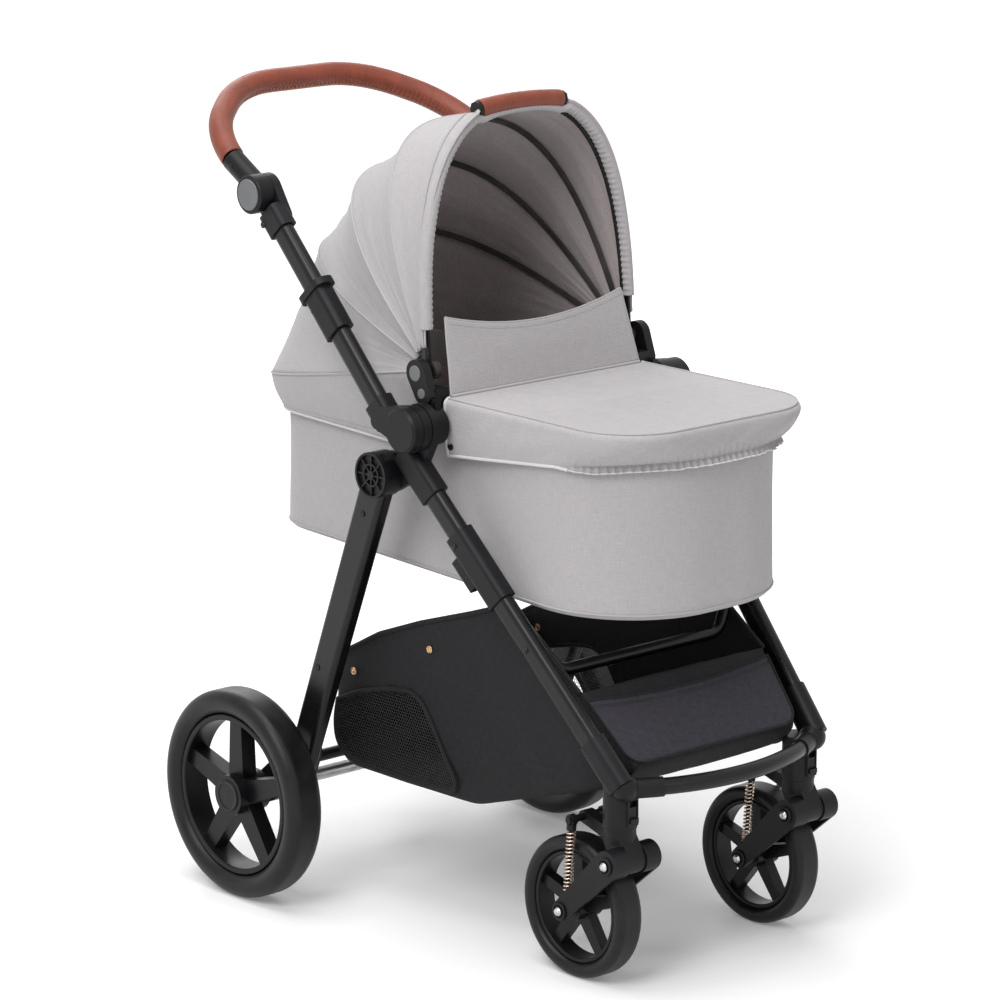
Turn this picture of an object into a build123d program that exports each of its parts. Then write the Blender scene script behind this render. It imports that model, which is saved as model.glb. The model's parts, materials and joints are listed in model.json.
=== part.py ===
import os
from math import cos, pi, radians, sin, sqrt

from build123d import *

os.makedirs("parts", exist_ok=True)

# Distances d are millimetres forward of the rear axle, heights z are above the floor.
AXLE_Y = 218.5
REAR_R = 137.5
REAR_W = 52.0
REAR_X = 271.0
FRONT_R = 90.0
FRONT_W = 39.0
FRONT_X = 154.5
WHEELBASE = 522.0
TRAIL = 66.0
STEM_D = WHEELBASE + TRAIL

FOLD_D, FOLD_Z = 278.0, 658.0
LEG_D, LEG_Z = 220.0, 592.0
FOOT_X, FOOT_D, FOOT_Z = 168.0, STEM_D + 9.0, 268.0
TUBE_X = 209.0
TUBE_W = 32.0
TUBE_T = 20.0
TUBE_WALL = 2.0
TUBE_SLOPE = 46.2
TUBE_OFFSET = 38.4
UPPER_LENGTH = 391.6
SLEEVE_W = 38.0
SLEEVE_T = 26.0
RUN = 0.05

STEM_R = 8.0
SOCKET_Z = 206.0
HEAD_Z = SOCKET_Z - 18.0
PIVOT_LEAD = 15.0
PIVOT_R = 17.0
PIVOT_CLEAR = 4.76
PIVOT_D = STEM_D + PIVOT_LEAD
PIVOT_Z = round(FRONT_R + sqrt((FRONT_R + PIVOT_R + PIVOT_CLEAR) ** 2 - (PIVOT_D - WHEELBASE) ** 2), 2)
SPRING_LEAD = 9.0
SPRING_D, SPRING_Z = WHEELBASE + SPRING_LEAD, SOCKET_Z + 1.0
SPRING_DX = 26.5
SPRING_R = 5.0
SPRING_WIRE = 1.05
SPRING_TURNS = 17
ARM_DX = 33.2
ARM_T = 4.8
AXLE_R = 5.0

HANDLE_SLOPE = 30.6
HANDLE_X = 208.0
HANDLE_REACH = 214.0
HANDLE_R = 11.0
GRIP_R = 16.0

HOOD_D, HOOD_Z = 256.0, 721.0
COT_BASE_Z = 453.0
COT_TOP_Z = 688.0
COT_NOSE_D = 608.0
COT_TAIL_D = -127.0
COT_FRONT_W = 166.0
COT_BACK_W = 127.0
COT_WALL = 8.0
APRON_W = 172.0
APRON_NOSE_D = 616.0
APRON_REAR_D = FOLD_D + 9.0
APRON_TOP_Z = 691.0
APRON_T = 3.0
BASKET_T = 2.5

U_Y, U_Z = cos(radians(TUBE_SLOPE)), sin(radians(TUBE_SLOPE))


def fwd(d):
    return AXLE_Y - d


def on_tube(t, n=0.0):
    """Y and Z of the point t up the main tube from the fold joint and n in front of its centre line."""
    lift = n - TUBE_OFFSET
    return (fwd(FOLD_D) + t * U_Y - lift * U_Z, FOLD_Z + t * U_Z + lift * U_Y)


def side(x):
    return Plane.YZ.offset(x)


def axle_plane(x, d, z):
    return Plane(origin=(x, fwd(d), z), x_dir=(1, 0, 0), z_dir=(0, -1, 0))


def axle_axis(d, z):
    return Axis((0, fwd(d), z), (1, 0, 0))


def rod(x0, x1, d, z, r, mode=Mode.ADD):
    with BuildSketch(side(min(x0, x1))) as s:
        with Locations((fwd(d), z)):
            Circle(r)
    extrude(s.sketch, amount=abs(x1 - x0), mode=mode)


def hull_slab(x0, x1, circles, mode=Mode.ADD):
    with BuildSketch(side(min(x0, x1))) as s:
        for d, z, r in circles:
            with Locations((fwd(d), z)):
                Circle(r)
        make_hull()
    extrude(s.sketch, amount=abs(x1 - x0), mode=mode)


def block(x0, x1, d0, d1, z0, z1, mode=Mode.ADD):
    with Locations(((x0 + x1) / 2, fwd((d0 + d1) / 2), (z0 + z1) / 2)):
        Box(abs(x1 - x0), abs(d1 - d0), abs(z1 - z0), mode=mode)


def flat_oval(plane, width, thick, grow=0.0):
    with BuildSketch(plane) as s:
        RectangleRounded(thick + 2 * grow, width + 2 * grow, (thick + 2 * grow) / 2 - 0.05)
    return s.sketch


def upper_plane(t):
    y, z = on_tube(t)
    return Plane(origin=(TUBE_X, y, z), x_dir=(1, 0, 0), z_dir=(0, U_Y, U_Z))


LOW_Y, LOW_Z = on_tube(0)
LOW_DIR = Vector(FOOT_X - TUBE_X, fwd(FOOT_D) - LOW_Y, FOOT_Z - LOW_Z)
LOW_LENGTH = LOW_DIR.length
LOW_UNIT = LOW_DIR.normalized()


def lower_plane(s):
    origin = Vector(TUBE_X, LOW_Y, LOW_Z) + LOW_UNIT * s
    return Plane(origin=origin, x_dir=(1, 0, 0), z_dir=LOW_UNIT)


def save(part, name):
    part.label = name
    export_step(part, f"parts/{name}.step")
    print(name, len(part.solids()), round(part.volume / 1000.0, 1), "cm3")


def lower_tube_solid(start, end, grow=0.0):
    with BuildPart() as p:
        extrude(flat_oval(lower_plane(start), TUBE_W, TUBE_T, grow), amount=end - start)
    return p.part


LOWER_START = 22.0
LOWER_END = LOW_LENGTH + 6.0

with BuildPart() as lower_tubes:
    add(lower_tube_solid(LOWER_START, LOWER_END))
    add(lower_tube_solid(LOWER_START, LOWER_END, -TUBE_WALL), mode=Mode.SUBTRACT)
    mirror(about=Plane.YZ)
save(lower_tubes.part, "lower_tubes")

LAYER_IN = TUBE_X - SLEEVE_T / 2
LAYER_MID = TUBE_X
LAYER_OUT = TUBE_X + SLEEVE_T / 2
HUB_LOBE_R = 30.0
PIVOT_PIN_R = 10.0
LEG_PIN_R = 8.0
LEG_HUB_R = 29.0
LEG_X0 = LAYER_MID - 1.0
LEG_X1 = LEG_X0 + 22.0

with BuildPart() as hub_housings:
    with BuildSketch(lower_plane(8.0)):
        RectangleRounded(SLEEVE_T, SLEEVE_W, 8)
    extrude(amount=71)
    fillet(hub_housings.edges().filter_by(GeomType.LINE, reverse=True).group_by(Axis.Z)[0], 1.5)
    rod(LAYER_MID - 0.2, LAYER_OUT + 5, FOLD_D, FOLD_Z, HUB_LOBE_R + 0.6, Mode.SUBTRACT)
    hull_slab(LAYER_IN, LAYER_MID - 0.3, [(FOLD_D, FOLD_Z, HUB_LOBE_R), (FOLD_D - 12, FOLD_Z - 52, 16)])
    hull_slab(LAYER_IN, LEG_X0 - 0.4, [(LEG_D, LEG_Z, 26), (FOLD_D - 12, FOLD_Z - 52, 16)])
    rod(LEG_X0 - 1, LEG_X1 - 1, LEG_D, LEG_Z, LEG_PIN_R)
    rod(LAYER_IN - 5, LAYER_OUT + 5, FOLD_D, FOLD_Z, PIVOT_PIN_R, Mode.SUBTRACT)
    add(lower_tube_solid(LOWER_START, LOWER_END), mode=Mode.SUBTRACT)
    mirror(about=Plane.YZ)
save(hub_housings.part, "hub_housings")

SOCKET_X0 = LAYER_IN - 18.0
POCKET_X0 = SOCKET_X0 + 2.6
POCKET_X1 = POCKET_X0 + 10.0
TONGUE_W = 25.4
CAP_R = 28.5
CAP_X = 239.0

with BuildPart() as adapter_hubs:
    rod(SOCKET_X0, LAYER_IN - 0.2, FOLD_D, FOLD_Z, 25)
    rod(LAYER_IN - 0.3, LAYER_OUT + 0.5, FOLD_D, FOLD_Z, PIVOT_PIN_R)
    rod(LAYER_OUT + 0.4, CAP_X, FOLD_D, FOLD_Z, CAP_R)
    chamfer(adapter_hubs.faces().sort_by(Axis.X)[-1].edges(), 3)
    block(POCKET_X0, POCKET_X1, FOLD_D - 13, FOLD_D + 13, FOLD_Z - 18, FOLD_Z + 40, Mode.SUBTRACT)
    mirror(about=Plane.YZ)
save(adapter_hubs.part, "adapter_hubs")

BRACKET_START = 135.0
BRACKET_END = 238.0
with BuildPart() as lower_brackets:
    with BuildSketch(lower_plane(BRACKET_START)):
        RectangleRounded(SLEEVE_T, SLEEVE_W, 9)
    extrude(amount=BRACKET_END - BRACKET_START)
    with BuildSketch(lower_plane(BRACKET_START + 22)):
        with Locations((0, -SLEEVE_W / 2 - 3)):
            RectangleRounded(15, 26, 5)
    extrude(amount=44)
    add(lower_tube_solid(LOWER_START, LOWER_END), mode=Mode.SUBTRACT)
    mirror(about=Plane.YZ)
save(lower_brackets.part, "lower_brackets")

BAR_Z = 258.0
BAR_R = 10.5
BAR_END_X, BAR_END_D, BAR_MID_D = FOOT_X - 16.0, FOOT_D + 9.0, FOOT_D + 53.0


def front_bar_solid(r, share=1.0):
    with BuildPart() as p:
        with BuildLine(Plane.XY.offset(BAR_Z)) as path:
            ThreePointArc((BAR_END_X, fwd(BAR_END_D)), (0, fwd(BAR_MID_D)), (-BAR_END_X, fwd(BAR_END_D)))
        run = path.line.edge() if share == 1.0 else path.line.edge().trim(0.0, share)
        with BuildSketch(Plane(origin=run @ 0, z_dir=run % 0)) as disc:
            Circle(r)
        sweep(disc.sketch, path=run)
    return p.part


front_bar = front_bar_solid(BAR_R)
save(front_bar, "front_cross_bar")

HOUSING_R = 21.0
HOUSING_TOP = 262.0
ELBOW_R = 17.0
ELBOW_WALL = 3.0
TAB_Z0, TAB_Z1, TAB_TRAVEL = 216.0, 236.0, 8.0
with BuildPart() as front_corners:
    with Locations((FRONT_X, fwd(STEM_D), SOCKET_Z)):
        Cylinder(HOUSING_R, HOUSING_TOP - SOCKET_Z, align=(Align.CENTER, Align.CENTER, Align.MIN))
    extrude(flat_oval(lower_plane(LOW_LENGTH - 58), TUBE_W, TUBE_T, ELBOW_WALL), amount=68)
    with Locations((FOOT_X - 6, fwd(FOOT_D + 7), BAR_Z + 2)):
        Sphere(ELBOW_R)
    add(front_bar_solid(BAR_R + 2.0, 0.12))
    block(FRONT_X - 8, FRONT_X + 8, STEM_D + 12, STEM_D + HOUSING_R + 3, SOCKET_Z + 6, TAB_Z1 + 14)
    with Locations((FRONT_X, fwd(STEM_D), SOCKET_Z)):
        Cylinder(STEM_R + RUN, 45, align=(Align.CENTER, Align.CENTER, Align.MIN), mode=Mode.SUBTRACT)
    block(FRONT_X - 6.3, FRONT_X + 6.3, STEM_D + 17, STEM_D + 40, TAB_Z0 - 0.3, TAB_Z1 + TAB_TRAVEL + 0.5,
          Mode.SUBTRACT)
    add(lower_tube_solid(LOWER_START, LOWER_END), mode=Mode.SUBTRACT)
    add(front_bar, mode=Mode.SUBTRACT)
    mirror(about=Plane.YZ)
save(front_corners.part, "front_corners")


def swivel_lock(sign):
    with BuildPart() as p:
        block(sign * FRONT_X - 6, sign * FRONT_X + 6, STEM_D + 17.2, STEM_D + HOUSING_R + 2, TAB_Z0, TAB_Z1)
        block(sign * FRONT_X - 6, sign * FRONT_X + 6, STEM_D + HOUSING_R, STEM_D + HOUSING_R + 6, TAB_Z0,
              TAB_Z0 + 6)
    return p.part


UBAR_END = (178.0, 443.0, 430.0)
UBAR_BEND = (136.0, 460.0, 372.0)
UBAR_R = 8.0
with BuildPart() as u_bar:
    ubar_up = Vector(0, UBAR_BEND[1] - UBAR_END[1], UBAR_END[2] - UBAR_BEND[2])
    ubar_plane = Plane(origin=(0, fwd(UBAR_BEND[1]), UBAR_BEND[2]), x_dir=(1, 0, 0),
                       z_dir=Vector(1, 0, 0).cross(ubar_up))
    with BuildLine(ubar_plane) as path:
        FilletPolyline((-UBAR_END[0], ubar_up.length), (-UBAR_BEND[0], 0), (UBAR_BEND[0], 0),
                       (UBAR_END[0], ubar_up.length), radius=28)
    with BuildSketch(Plane(origin=path.line @ 0, z_dir=path.line % 0)):
        Circle(UBAR_R)
    sweep()
    for sign in (-1, 1):
        tube = lower_tube_solid(LOWER_START, LOWER_END)
        add(tube if sign > 0 else tube.mirror(Plane.YZ), mode=Mode.SUBTRACT)
save(u_bar.part, "u_bar")

FRONT_D = FOOT_D + 3.0
BASKET_SIDE = [(74, 166), (322, 168), (FRONT_D - 150, 209), (FRONT_D - 30, 246), (FRONT_D, 279),
               (FRONT_D - 80, 360), (FRONT_D - 208, 446), (320, 421), (225, 390), (146, 360), (60, 314),
               (44, 190)]
BASKET_HOLE = [(76, 168.5), (321.5, 170.5), (FRONT_D - 151, 211.5), (FRONT_D - 31.5, 248.5),
               (FRONT_D - 3.6, 279.1), (FRONT_D - 83.6, 360.1), (FRONT_D - 70, 470), (300, 520), (20, 480),
               (62.6, 313.5), (46.6, 190.5)]
BASKET_BEND_D = FRONT_D - 80.0
BASKET_BEND_W = 160.0
BASKET_REAR_W = 164.0
BASKET_FRONT_W = 147.0


def basket_block(profile, grow):
    with BuildPart() as p:
        with BuildSketch(side(-190)):
            with BuildLine():
                Polyline(*[(fwd(d), z) for d, z in profile], close=True)
            make_face()
        extrude(amount=380)
        with BuildSketch(Plane.XY) as plan:
            with BuildLine():
                half = [(BASKET_REAR_W, 20), (BASKET_BEND_W, BASKET_BEND_D), (BASKET_FRONT_W, FRONT_D + 10)]
                Polyline(*[(w + grow, fwd(d)) for w, d in half],
                         *[(-w - grow, fwd(d)) for w, d in reversed(half)], close=True)
            make_face()
        extrude(amount=900, mode=Mode.INTERSECT)
    return p.part


with BuildPart() as basket:
    add(basket_block(BASKET_SIDE, 0.0))
    add(basket_block(BASKET_HOLE, -BASKET_T), mode=Mode.SUBTRACT)
    add(u_bar.part, mode=Mode.SUBTRACT)
    for sign in (-1, 1):
        corner = lower_tube_solid(LOWER_START, LOWER_END, 0.3)
        add(corner if sign > 0 else corner.mirror(Plane.YZ), mode=Mode.SUBTRACT)
        with Locations((sign * FRONT_X, fwd(STEM_D), SOCKET_Z)):
            Cylinder(HOUSING_R + 0.5, 90, align=(Align.CENTER, Align.CENTER, Align.MIN), mode=Mode.SUBTRACT)
    add(front_corners.part, mode=Mode.SUBTRACT)
save(basket.part, "basket")

POCKET_T = 2.0
with BuildPart() as basket_pocket:
    pocket_up = Vector(0, 80.0, 81.0).normalized()
    pocket_plane = Plane(origin=(0, fwd(FRONT_D - 2.6), 282.0), x_dir=(1, 0, 0),
                         z_dir=Vector(1, 0, 0).cross(pocket_up))
    with BuildSketch(pocket_plane):
        with BuildLine():
            foot_w, top_w = BASKET_FRONT_W - 5.0, BASKET_BEND_W - 5.0
            Polyline((-foot_w, 0), (foot_w, 0), (top_w, 98), (-top_w, 98), close=True)
        make_face()
    extrude(amount=POCKET_T)
save(basket_pocket.part, "basket_pocket")


def tube_dz(t, n=0.0):
    y, z = on_tube(t, n)
    return (AXLE_Y - y, z)


KNUCKLE_START, KNUCKLE_END = 34.0, 66.0
UPPER_START, UPPER_END = 36.0, UPPER_LENGTH - 30.0
JOINT_D, JOINT_Z = tube_dz(UPPER_LENGTH)
JOINT_R = 25.0


def upper_tube_solid(start, end, grow=0.0):
    with BuildPart() as p:
        extrude(flat_oval(upper_plane(start), TUBE_W, TUBE_T, grow), amount=end - start)
    return p.part


with BuildPart() as upper_tubes:
    add(upper_tube_solid(UPPER_START, UPPER_END))
    add(upper_tube_solid(UPPER_START, UPPER_END, -TUBE_WALL), mode=Mode.SUBTRACT)
    mirror(about=Plane.YZ)
save(upper_tubes.part, "upper_tubes")

with BuildPart() as upper_knuckles:
    with BuildSketch(upper_plane(KNUCKLE_START)):
        RectangleRounded(SLEEVE_T, SLEEVE_W, 8)
    extrude(amount=KNUCKLE_END - KNUCKLE_START)
    hull_slab(LAYER_MID + 0.3, LAYER_OUT, [(FOLD_D, FOLD_Z, LEG_HUB_R), (*tube_dz(44, 8), 9),
                                           (*tube_dz(44, -9), 9)])
    rod(LAYER_MID, LAYER_OUT + 5, FOLD_D, FOLD_Z, PIVOT_PIN_R + RUN, Mode.SUBTRACT)
    add(upper_tube_solid(UPPER_START, UPPER_END), mode=Mode.SUBTRACT)
    mirror(about=Plane.YZ)
save(upper_knuckles.part, "upper_knuckles")

with BuildPart() as handle_joints:
    with BuildSketch(upper_plane(UPPER_LENGTH - 60)):
        RectangleRounded(SLEEVE_T, SLEEVE_W, 8)
    extrude(amount=32)
    hull_slab(LAYER_IN, LAYER_MID - 0.3, [(JOINT_D, JOINT_Z, JOINT_R), (*tube_dz(UPPER_LENGTH - 42, 8), 9),
                                          (*tube_dz(UPPER_LENGTH - 42, -8), 9)])
    rod(LAYER_MID - 1, LAYER_MID + 10, JOINT_D, JOINT_Z, 6)
    add(upper_tube_solid(UPPER_START, UPPER_END), mode=Mode.SUBTRACT)
    mirror(about=Plane.YZ)
save(handle_joints.part, "handle_joints")

SLIDER_START, SLIDER_END = 172.0, 242.0
SLIDER_CLEAR = 0.1


def fold_slider(sign):
    with BuildPart() as p:
        with BuildSketch(upper_plane(SLIDER_START)) as body:
            RectangleRounded(28, 40, 10)
        extrude(body.sketch, amount=SLIDER_END - SLIDER_START)
        with BuildSketch(upper_plane(SLIDER_END - 9)) as lip:
            RectangleRounded(33, 54, 13)
        extrude(lip.sketch, amount=9)
        add(upper_tube_solid(UPPER_START, UPPER_END, SLIDER_CLEAR), mode=Mode.SUBTRACT)
    return p.part if sign > 0 else p.part.mirror(Plane.YZ)


H_Y, H_Z = cos(radians(HANDLE_SLOPE)), sin(radians(HANDLE_SLOPE))
HANDLE_START = 32.0


def handle_plane():
    return Plane(origin=(0, fwd(JOINT_D), JOINT_Z), x_dir=(1, 0, 0), z_dir=(0, -H_Z, H_Y))


def handle_path():
    half = [(HANDLE_X, HANDLE_START), (HANDLE_X, HANDLE_REACH - 94), (HANDLE_X - 106, HANDLE_REACH)]
    points = [(-x, y) for x, y in half] + half[::-1]
    with BuildLine(handle_plane()) as path:
        FilletPolyline(*points, radius=150)
    return path.line


def sweep_round(path, outer, inner):
    with BuildPart() as p:
        for r, mode in ((outer, Mode.ADD), (inner, Mode.SUBTRACT)):
            with BuildSketch(Plane(origin=path @ 0, z_dir=path % 0)) as disc:
                Circle(r)
            sweep(disc.sketch, path=path, mode=mode)
    return p.part


def handle_core():
    path = handle_path()
    with BuildPart() as p:
        with BuildSketch(Plane(origin=path @ 0, z_dir=path % 0)) as disc:
            Circle(HANDLE_R)
        sweep(disc.sketch, path=path)
    return p.part


handle_tube = sweep_round(handle_path(), HANDLE_R, HANDLE_R - TUBE_WALL)
save(handle_tube, "handle_tube")
GRIP_START = 72.0
with BuildPart() as handle_grip:
    add(sweep_round(handle_path(), GRIP_R, HANDLE_R))
    with BuildSketch(handle_plane()):
        with Locations((0, GRIP_START - 100)):
            Rectangle(600, 200)
    extrude(amount=60, both=True, mode=Mode.SUBTRACT)
save(handle_grip.part, "handle_grip")

BUTTON_R = 20.0
BUTTON_FACE = 234.0
BUTTON_TRAVEL = 3.5
with BuildPart() as handle_pivots:
    rod(LAYER_MID + 0.3, BUTTON_FACE - 2, JOINT_D, JOINT_Z, JOINT_R)
    chamfer(handle_pivots.faces().sort_by(Axis.X)[-1].edges(), 1.5)
    leg_plane = Plane(origin=(HANDLE_X, fwd(JOINT_D) + 18 * H_Y, JOINT_Z + 18 * H_Z), x_dir=(1, 0, 0),
                      z_dir=(0, H_Y, H_Z))
    with BuildSketch(leg_plane):
        Circle(15)
    extrude(amount=GRIP_START - 20)
    rod(LAYER_IN - 5, LAYER_MID + 0.25, JOINT_D, JOINT_Z, JOINT_R + 0.6, Mode.SUBTRACT)
    rod(LAYER_MID, LAYER_MID + 10.5, JOINT_D, JOINT_Z, 6 + RUN, Mode.SUBTRACT)
    rod(BUTTON_FACE - 13.5, BUTTON_FACE + 5, JOINT_D, JOINT_Z, BUTTON_R, Mode.SUBTRACT)
    add(handle_core(), mode=Mode.SUBTRACT)
    mirror(about=Plane.YZ)
save(handle_pivots.part, "handle_pivots")


def handle_button(sign):
    with BuildPart() as p:
        rod(sign * (BUTTON_FACE - 9.5), sign * BUTTON_FACE, JOINT_D, JOINT_Z, BUTTON_R - RUN)
        fillet(p.faces().sort_by(Axis.X)[-1 if sign > 0 else 0].edges(), 1.2)
    return p.part


LEG_END_D, LEG_END_Z = 58.0, 178.0
LEG_W_TOP, LEG_W_END = 46.0, 40.0


def leg_solid():
    run = Vector(LEG_D - LEG_END_D, LEG_END_Z - LEG_Z).normalized()
    top = Vector(fwd(LEG_D), LEG_Z)
    end = Vector(fwd(LEG_END_D), LEG_END_Z)
    across = Vector(-run.Y, run.X)
    corners = [top + across * (LEG_W_TOP / 2), end + across * (LEG_W_END / 2), end - across * (LEG_W_END / 2),
               top - across * (LEG_W_TOP / 2)]
    with BuildPart() as p:
        with BuildSketch(side(LEG_X0)) as s:
            with BuildLine():
                Polyline(*[(c.X, c.Y) for c in corners], close=True)
            make_face()
        extrude(s.sketch, amount=LEG_X1 - LEG_X0)
        long_edges = p.edges().filter_by(lambda e: e.length > 300)
        fillet(long_edges, 7)
        rod(LEG_X0, LEG_X1, LEG_D, LEG_Z, LEG_HUB_R)
        rod(LEG_X0 - 2, LEG_X1 + 2, LEG_D, LEG_Z, LEG_PIN_R + RUN, Mode.SUBTRACT)
    return p.part


leg = leg_solid()
with BuildPart() as rear_legs:
    add(leg)
    mirror(about=Plane.YZ)
save(rear_legs.part, "rear_legs")

with BuildPart() as leg_hub_caps:
    rod(LEG_X1, LEG_X1 + 2.5, LEG_D, LEG_Z, LEG_HUB_R)
    rod(LEG_X1 + 2, LEG_X1 + 7, LEG_D, LEG_Z, LEG_HUB_R)
    rod(LEG_X1 + 2.5, LEG_X1 + 9, LEG_D, LEG_Z, LEG_HUB_R - 3, Mode.SUBTRACT)
    rod(LEG_X1 + 2, LEG_X1 + 6, LEG_D, LEG_Z, 15)
    rod(LEG_X1 + 2.5, LEG_X1 + 9, LEG_D, LEG_Z, 12.5, Mode.SUBTRACT)
    rod(LEG_X1 + 2, LEG_X1 + 6.5, LEG_D, LEG_Z, 6)
    with BuildSketch(side(LEG_X1 + 2)):
        with Locations((fwd(LEG_D), LEG_Z)):
            with PolarLocations(15.8, 8):
                Rectangle(22, 2.2)
    extrude(amount=3.5)
    mirror(about=Plane.YZ)
save(leg_hub_caps.part, "leg_hub_caps")

AXLE_BEAM_R = 10.0
FOOT_OUT = LEG_X1 + 4.0
with BuildPart() as rear_feet:
    hull_slab(LEG_X0 - 3, FOOT_OUT, [(66, 198, 17), (48, 160, 18), (0, REAR_R, 21)])
    add(leg, mode=Mode.SUBTRACT)
    rod(LEG_X0 - 10, FOOT_OUT + 5, 0, REAR_R, AXLE_BEAM_R, Mode.SUBTRACT)
    mirror(about=Plane.YZ)
save(rear_feet.part, "rear_feet")

STUB_R = 7.0
CROSS_D, CROSS_Z = 24.0, REAR_R + 32.5
with BuildPart() as rear_axle:
    rod(-FOOT_OUT, FOOT_OUT, 0, REAR_R, AXLE_BEAM_R)
    rod(-REAR_X - 18, REAR_X + 18, 0, REAR_R, STUB_R)
save(rear_axle.part, "rear_axle")

with BuildPart() as rear_cross_bar:
    rod(-LEG_X0, LEG_X0, CROSS_D, CROSS_Z, 8)
    for hole in rear_feet.part.solids():
        add(hole, mode=Mode.SUBTRACT)
save(rear_cross_bar.part, "rear_cross_bar")

with BuildPart() as brake_pedal:
    hull_slab(-30, 30, [(0, REAR_R, 15), (-14, REAR_R + 8, 12)])
    hull_slab(-30, 30, [(-10, REAR_R + 9, 7), (-62, REAR_R + 20, 3.5)])
    rod(-40, 40, 0, REAR_R, AXLE_BEAM_R + RUN, Mode.SUBTRACT)
save(brake_pedal.part, "brake_pedal")


def ring_profile(plane, width, r0, r1, corner):
    with BuildSketch(plane) as s:
        with Locations((0, (r0 + r1) / 2)):
            RectangleRounded(width, r1 - r0, corner)
    return s.sketch


def tyre(x, d, z, width, r0, r1, corner):
    with BuildPart() as p:
        revolve(ring_profile(axle_plane(x, d, z), width, r0, r1, corner), axle_axis(d, z))
    return p.part


def spoked_rim(x, d, z, rim_w, r0, r1, hub_r, hub_w, spoke, bore):
    root_w, tip_w, spoke_t = spoke
    with BuildPart() as p:
        revolve(ring_profile(axle_plane(x, d, z), rim_w, r0, r1, 2), axle_axis(d, z))
        rod(x - hub_w / 2, x + hub_w / 2, d, z, hub_r)
        with BuildSketch(side(x - spoke_t / 2)) as s:
            with Locations((fwd(d), z)):
                with PolarLocations(0, 5, start_angle=90):
                    Polygon((hub_r * 0.6, -root_w / 2), (r0 + 2, -tip_w / 2), (r0 + 2, tip_w / 2),
                            (hub_r * 0.6, root_w / 2), align=None)
        extrude(s.sketch, amount=spoke_t)
        bore_x, bore_length, bore_r = bore
        rod(bore_x, bore_x + bore_length, d, z, bore_r, Mode.SUBTRACT)
    return p.part


REAR_RIM_R = 106.0


def rear_tyre(sign):
    return tyre(sign * REAR_X, 0, REAR_R, REAR_W, REAR_RIM_R, REAR_R, 15)


def rear_rim(sign):
    x = sign * REAR_X
    start = x - 30 if sign > 0 else x - 19
    return spoked_rim(x, 0, REAR_R, 38, REAR_RIM_R - 8, REAR_RIM_R, 27, 50, (30, 22, 22),
                      (start, 49, STUB_R + RUN))


FRONT_RIM_R = 71.0


def front_tyre(sign):
    return tyre(sign * FRONT_X, WHEELBASE, FRONT_R, FRONT_W, FRONT_RIM_R, FRONT_R, 9)


def front_rim(sign):
    x = sign * FRONT_X
    return spoked_rim(x, WHEELBASE, FRONT_R, 28, FRONT_RIM_R - 6, FRONT_RIM_R, 17, 38, (19, 14, 15),
                      (x - 30, 60, AXLE_R + RUN))


STRUT_RUN = Vector(0, SPRING_D - WHEELBASE, FRONT_R - SPRING_Z)
STRUT_LENGTH = STRUT_RUN.length
STRUT_UNIT = STRUT_RUN.normalized()
SPRING_TOP, SPRING_END = 13.5, STRUT_LENGTH - 18.0


def strut_plane(x, s):
    origin = Vector(x, fwd(SPRING_D), SPRING_Z) + STRUT_UNIT * s
    return Plane(origin=origin, x_dir=(1, 0, 0), z_dir=STRUT_UNIT)


def strut_disc(x, s0, s1, r):
    with BuildSketch(strut_plane(x, s0)) as s:
        Circle(r)
    extrude(s.sketch, amount=s1 - s0)


def caster_fork(sign):
    x = sign * FRONT_X
    with BuildPart() as p:
        with Locations((x, fwd(STEM_D), HEAD_Z - 2)):
            Cylinder(STEM_R, 62, align=(Align.CENTER, Align.CENTER, Align.MIN))
        with Locations((x, fwd(STEM_D), HEAD_Z)):
            Cylinder(20, SOCKET_Z - HEAD_Z - 0.5, align=(Align.CENTER, Align.CENTER, Align.MIN))
        crown = [(STEM_D + 7, HEAD_Z + 5, 9), (STEM_D - 9, HEAD_Z + 6, 9)]
        hull_slab(x - 13.5, x + 13.5, [(PIVOT_D, PIVOT_Z, PIVOT_R)] + crown)
        hull_slab(x - 8, x + 8, [(STEM_D - 8, HEAD_Z + 5, 8), (SPRING_D, SPRING_Z, 8)])
        rod(x - SPRING_DX - 7, x + SPRING_DX + 7, SPRING_D, SPRING_Z, 4.5)
        for dx in (-SPRING_DX, SPRING_DX):
            rod(x + dx - 4, x + dx + 4, SPRING_D, SPRING_Z, 7)
            strut_disc(x + dx, 0, 82, 2.6)
            strut_disc(x + dx, 5, SPRING_TOP - 0.4, 6.2)
        rod(x - 20, x + 20, PIVOT_D, PIVOT_Z, AXLE_R + RUN, Mode.SUBTRACT)
    return p.part


def front_arm(sign):
    x = sign * FRONT_X
    with BuildPart() as p:
        for way in (-1, 1):
            near, far = x + way * ARM_DX, x + way * (ARM_DX + ARM_T)
            hull_slab(near, far, [(PIVOT_D, PIVOT_Z, 19), (WHEELBASE, FRONT_R, 13)])
            rod(x + way * 14, far, PIVOT_D, PIVOT_Z, 19)
            rod(far, far + way * 3, PIVOT_D, PIVOT_Z, 6.5)
            rod(far, far + way * 3, WHEELBASE, FRONT_R, 6.5)
            rod(x + way * 22, x + way * 31, WHEELBASE, FRONT_R, 8)
            strut_disc(x + way * SPRING_DX, SPRING_END + 0.4, SPRING_END + 6, 6.2)
            strut_disc(x + way * SPRING_DX, SPRING_END + 2, STRUT_LENGTH, 4)
        rod(x - ARM_DX, x + ARM_DX, PIVOT_D, PIVOT_Z, AXLE_R)
        rod(x - ARM_DX, x + ARM_DX, WHEELBASE, FRONT_R, AXLE_R)
    return p.part


COIL_HEIGHT = SPRING_END - SPRING_TOP - 2 * SPRING_WIRE
COIL_PITCH = COIL_HEIGHT / SPRING_TURNS


def coil_point(turn):
    a = radians(360.0 * turn)
    return Vector(SPRING_R * cos(a), SPRING_R * sin(a), COIL_PITCH * turn)


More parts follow.
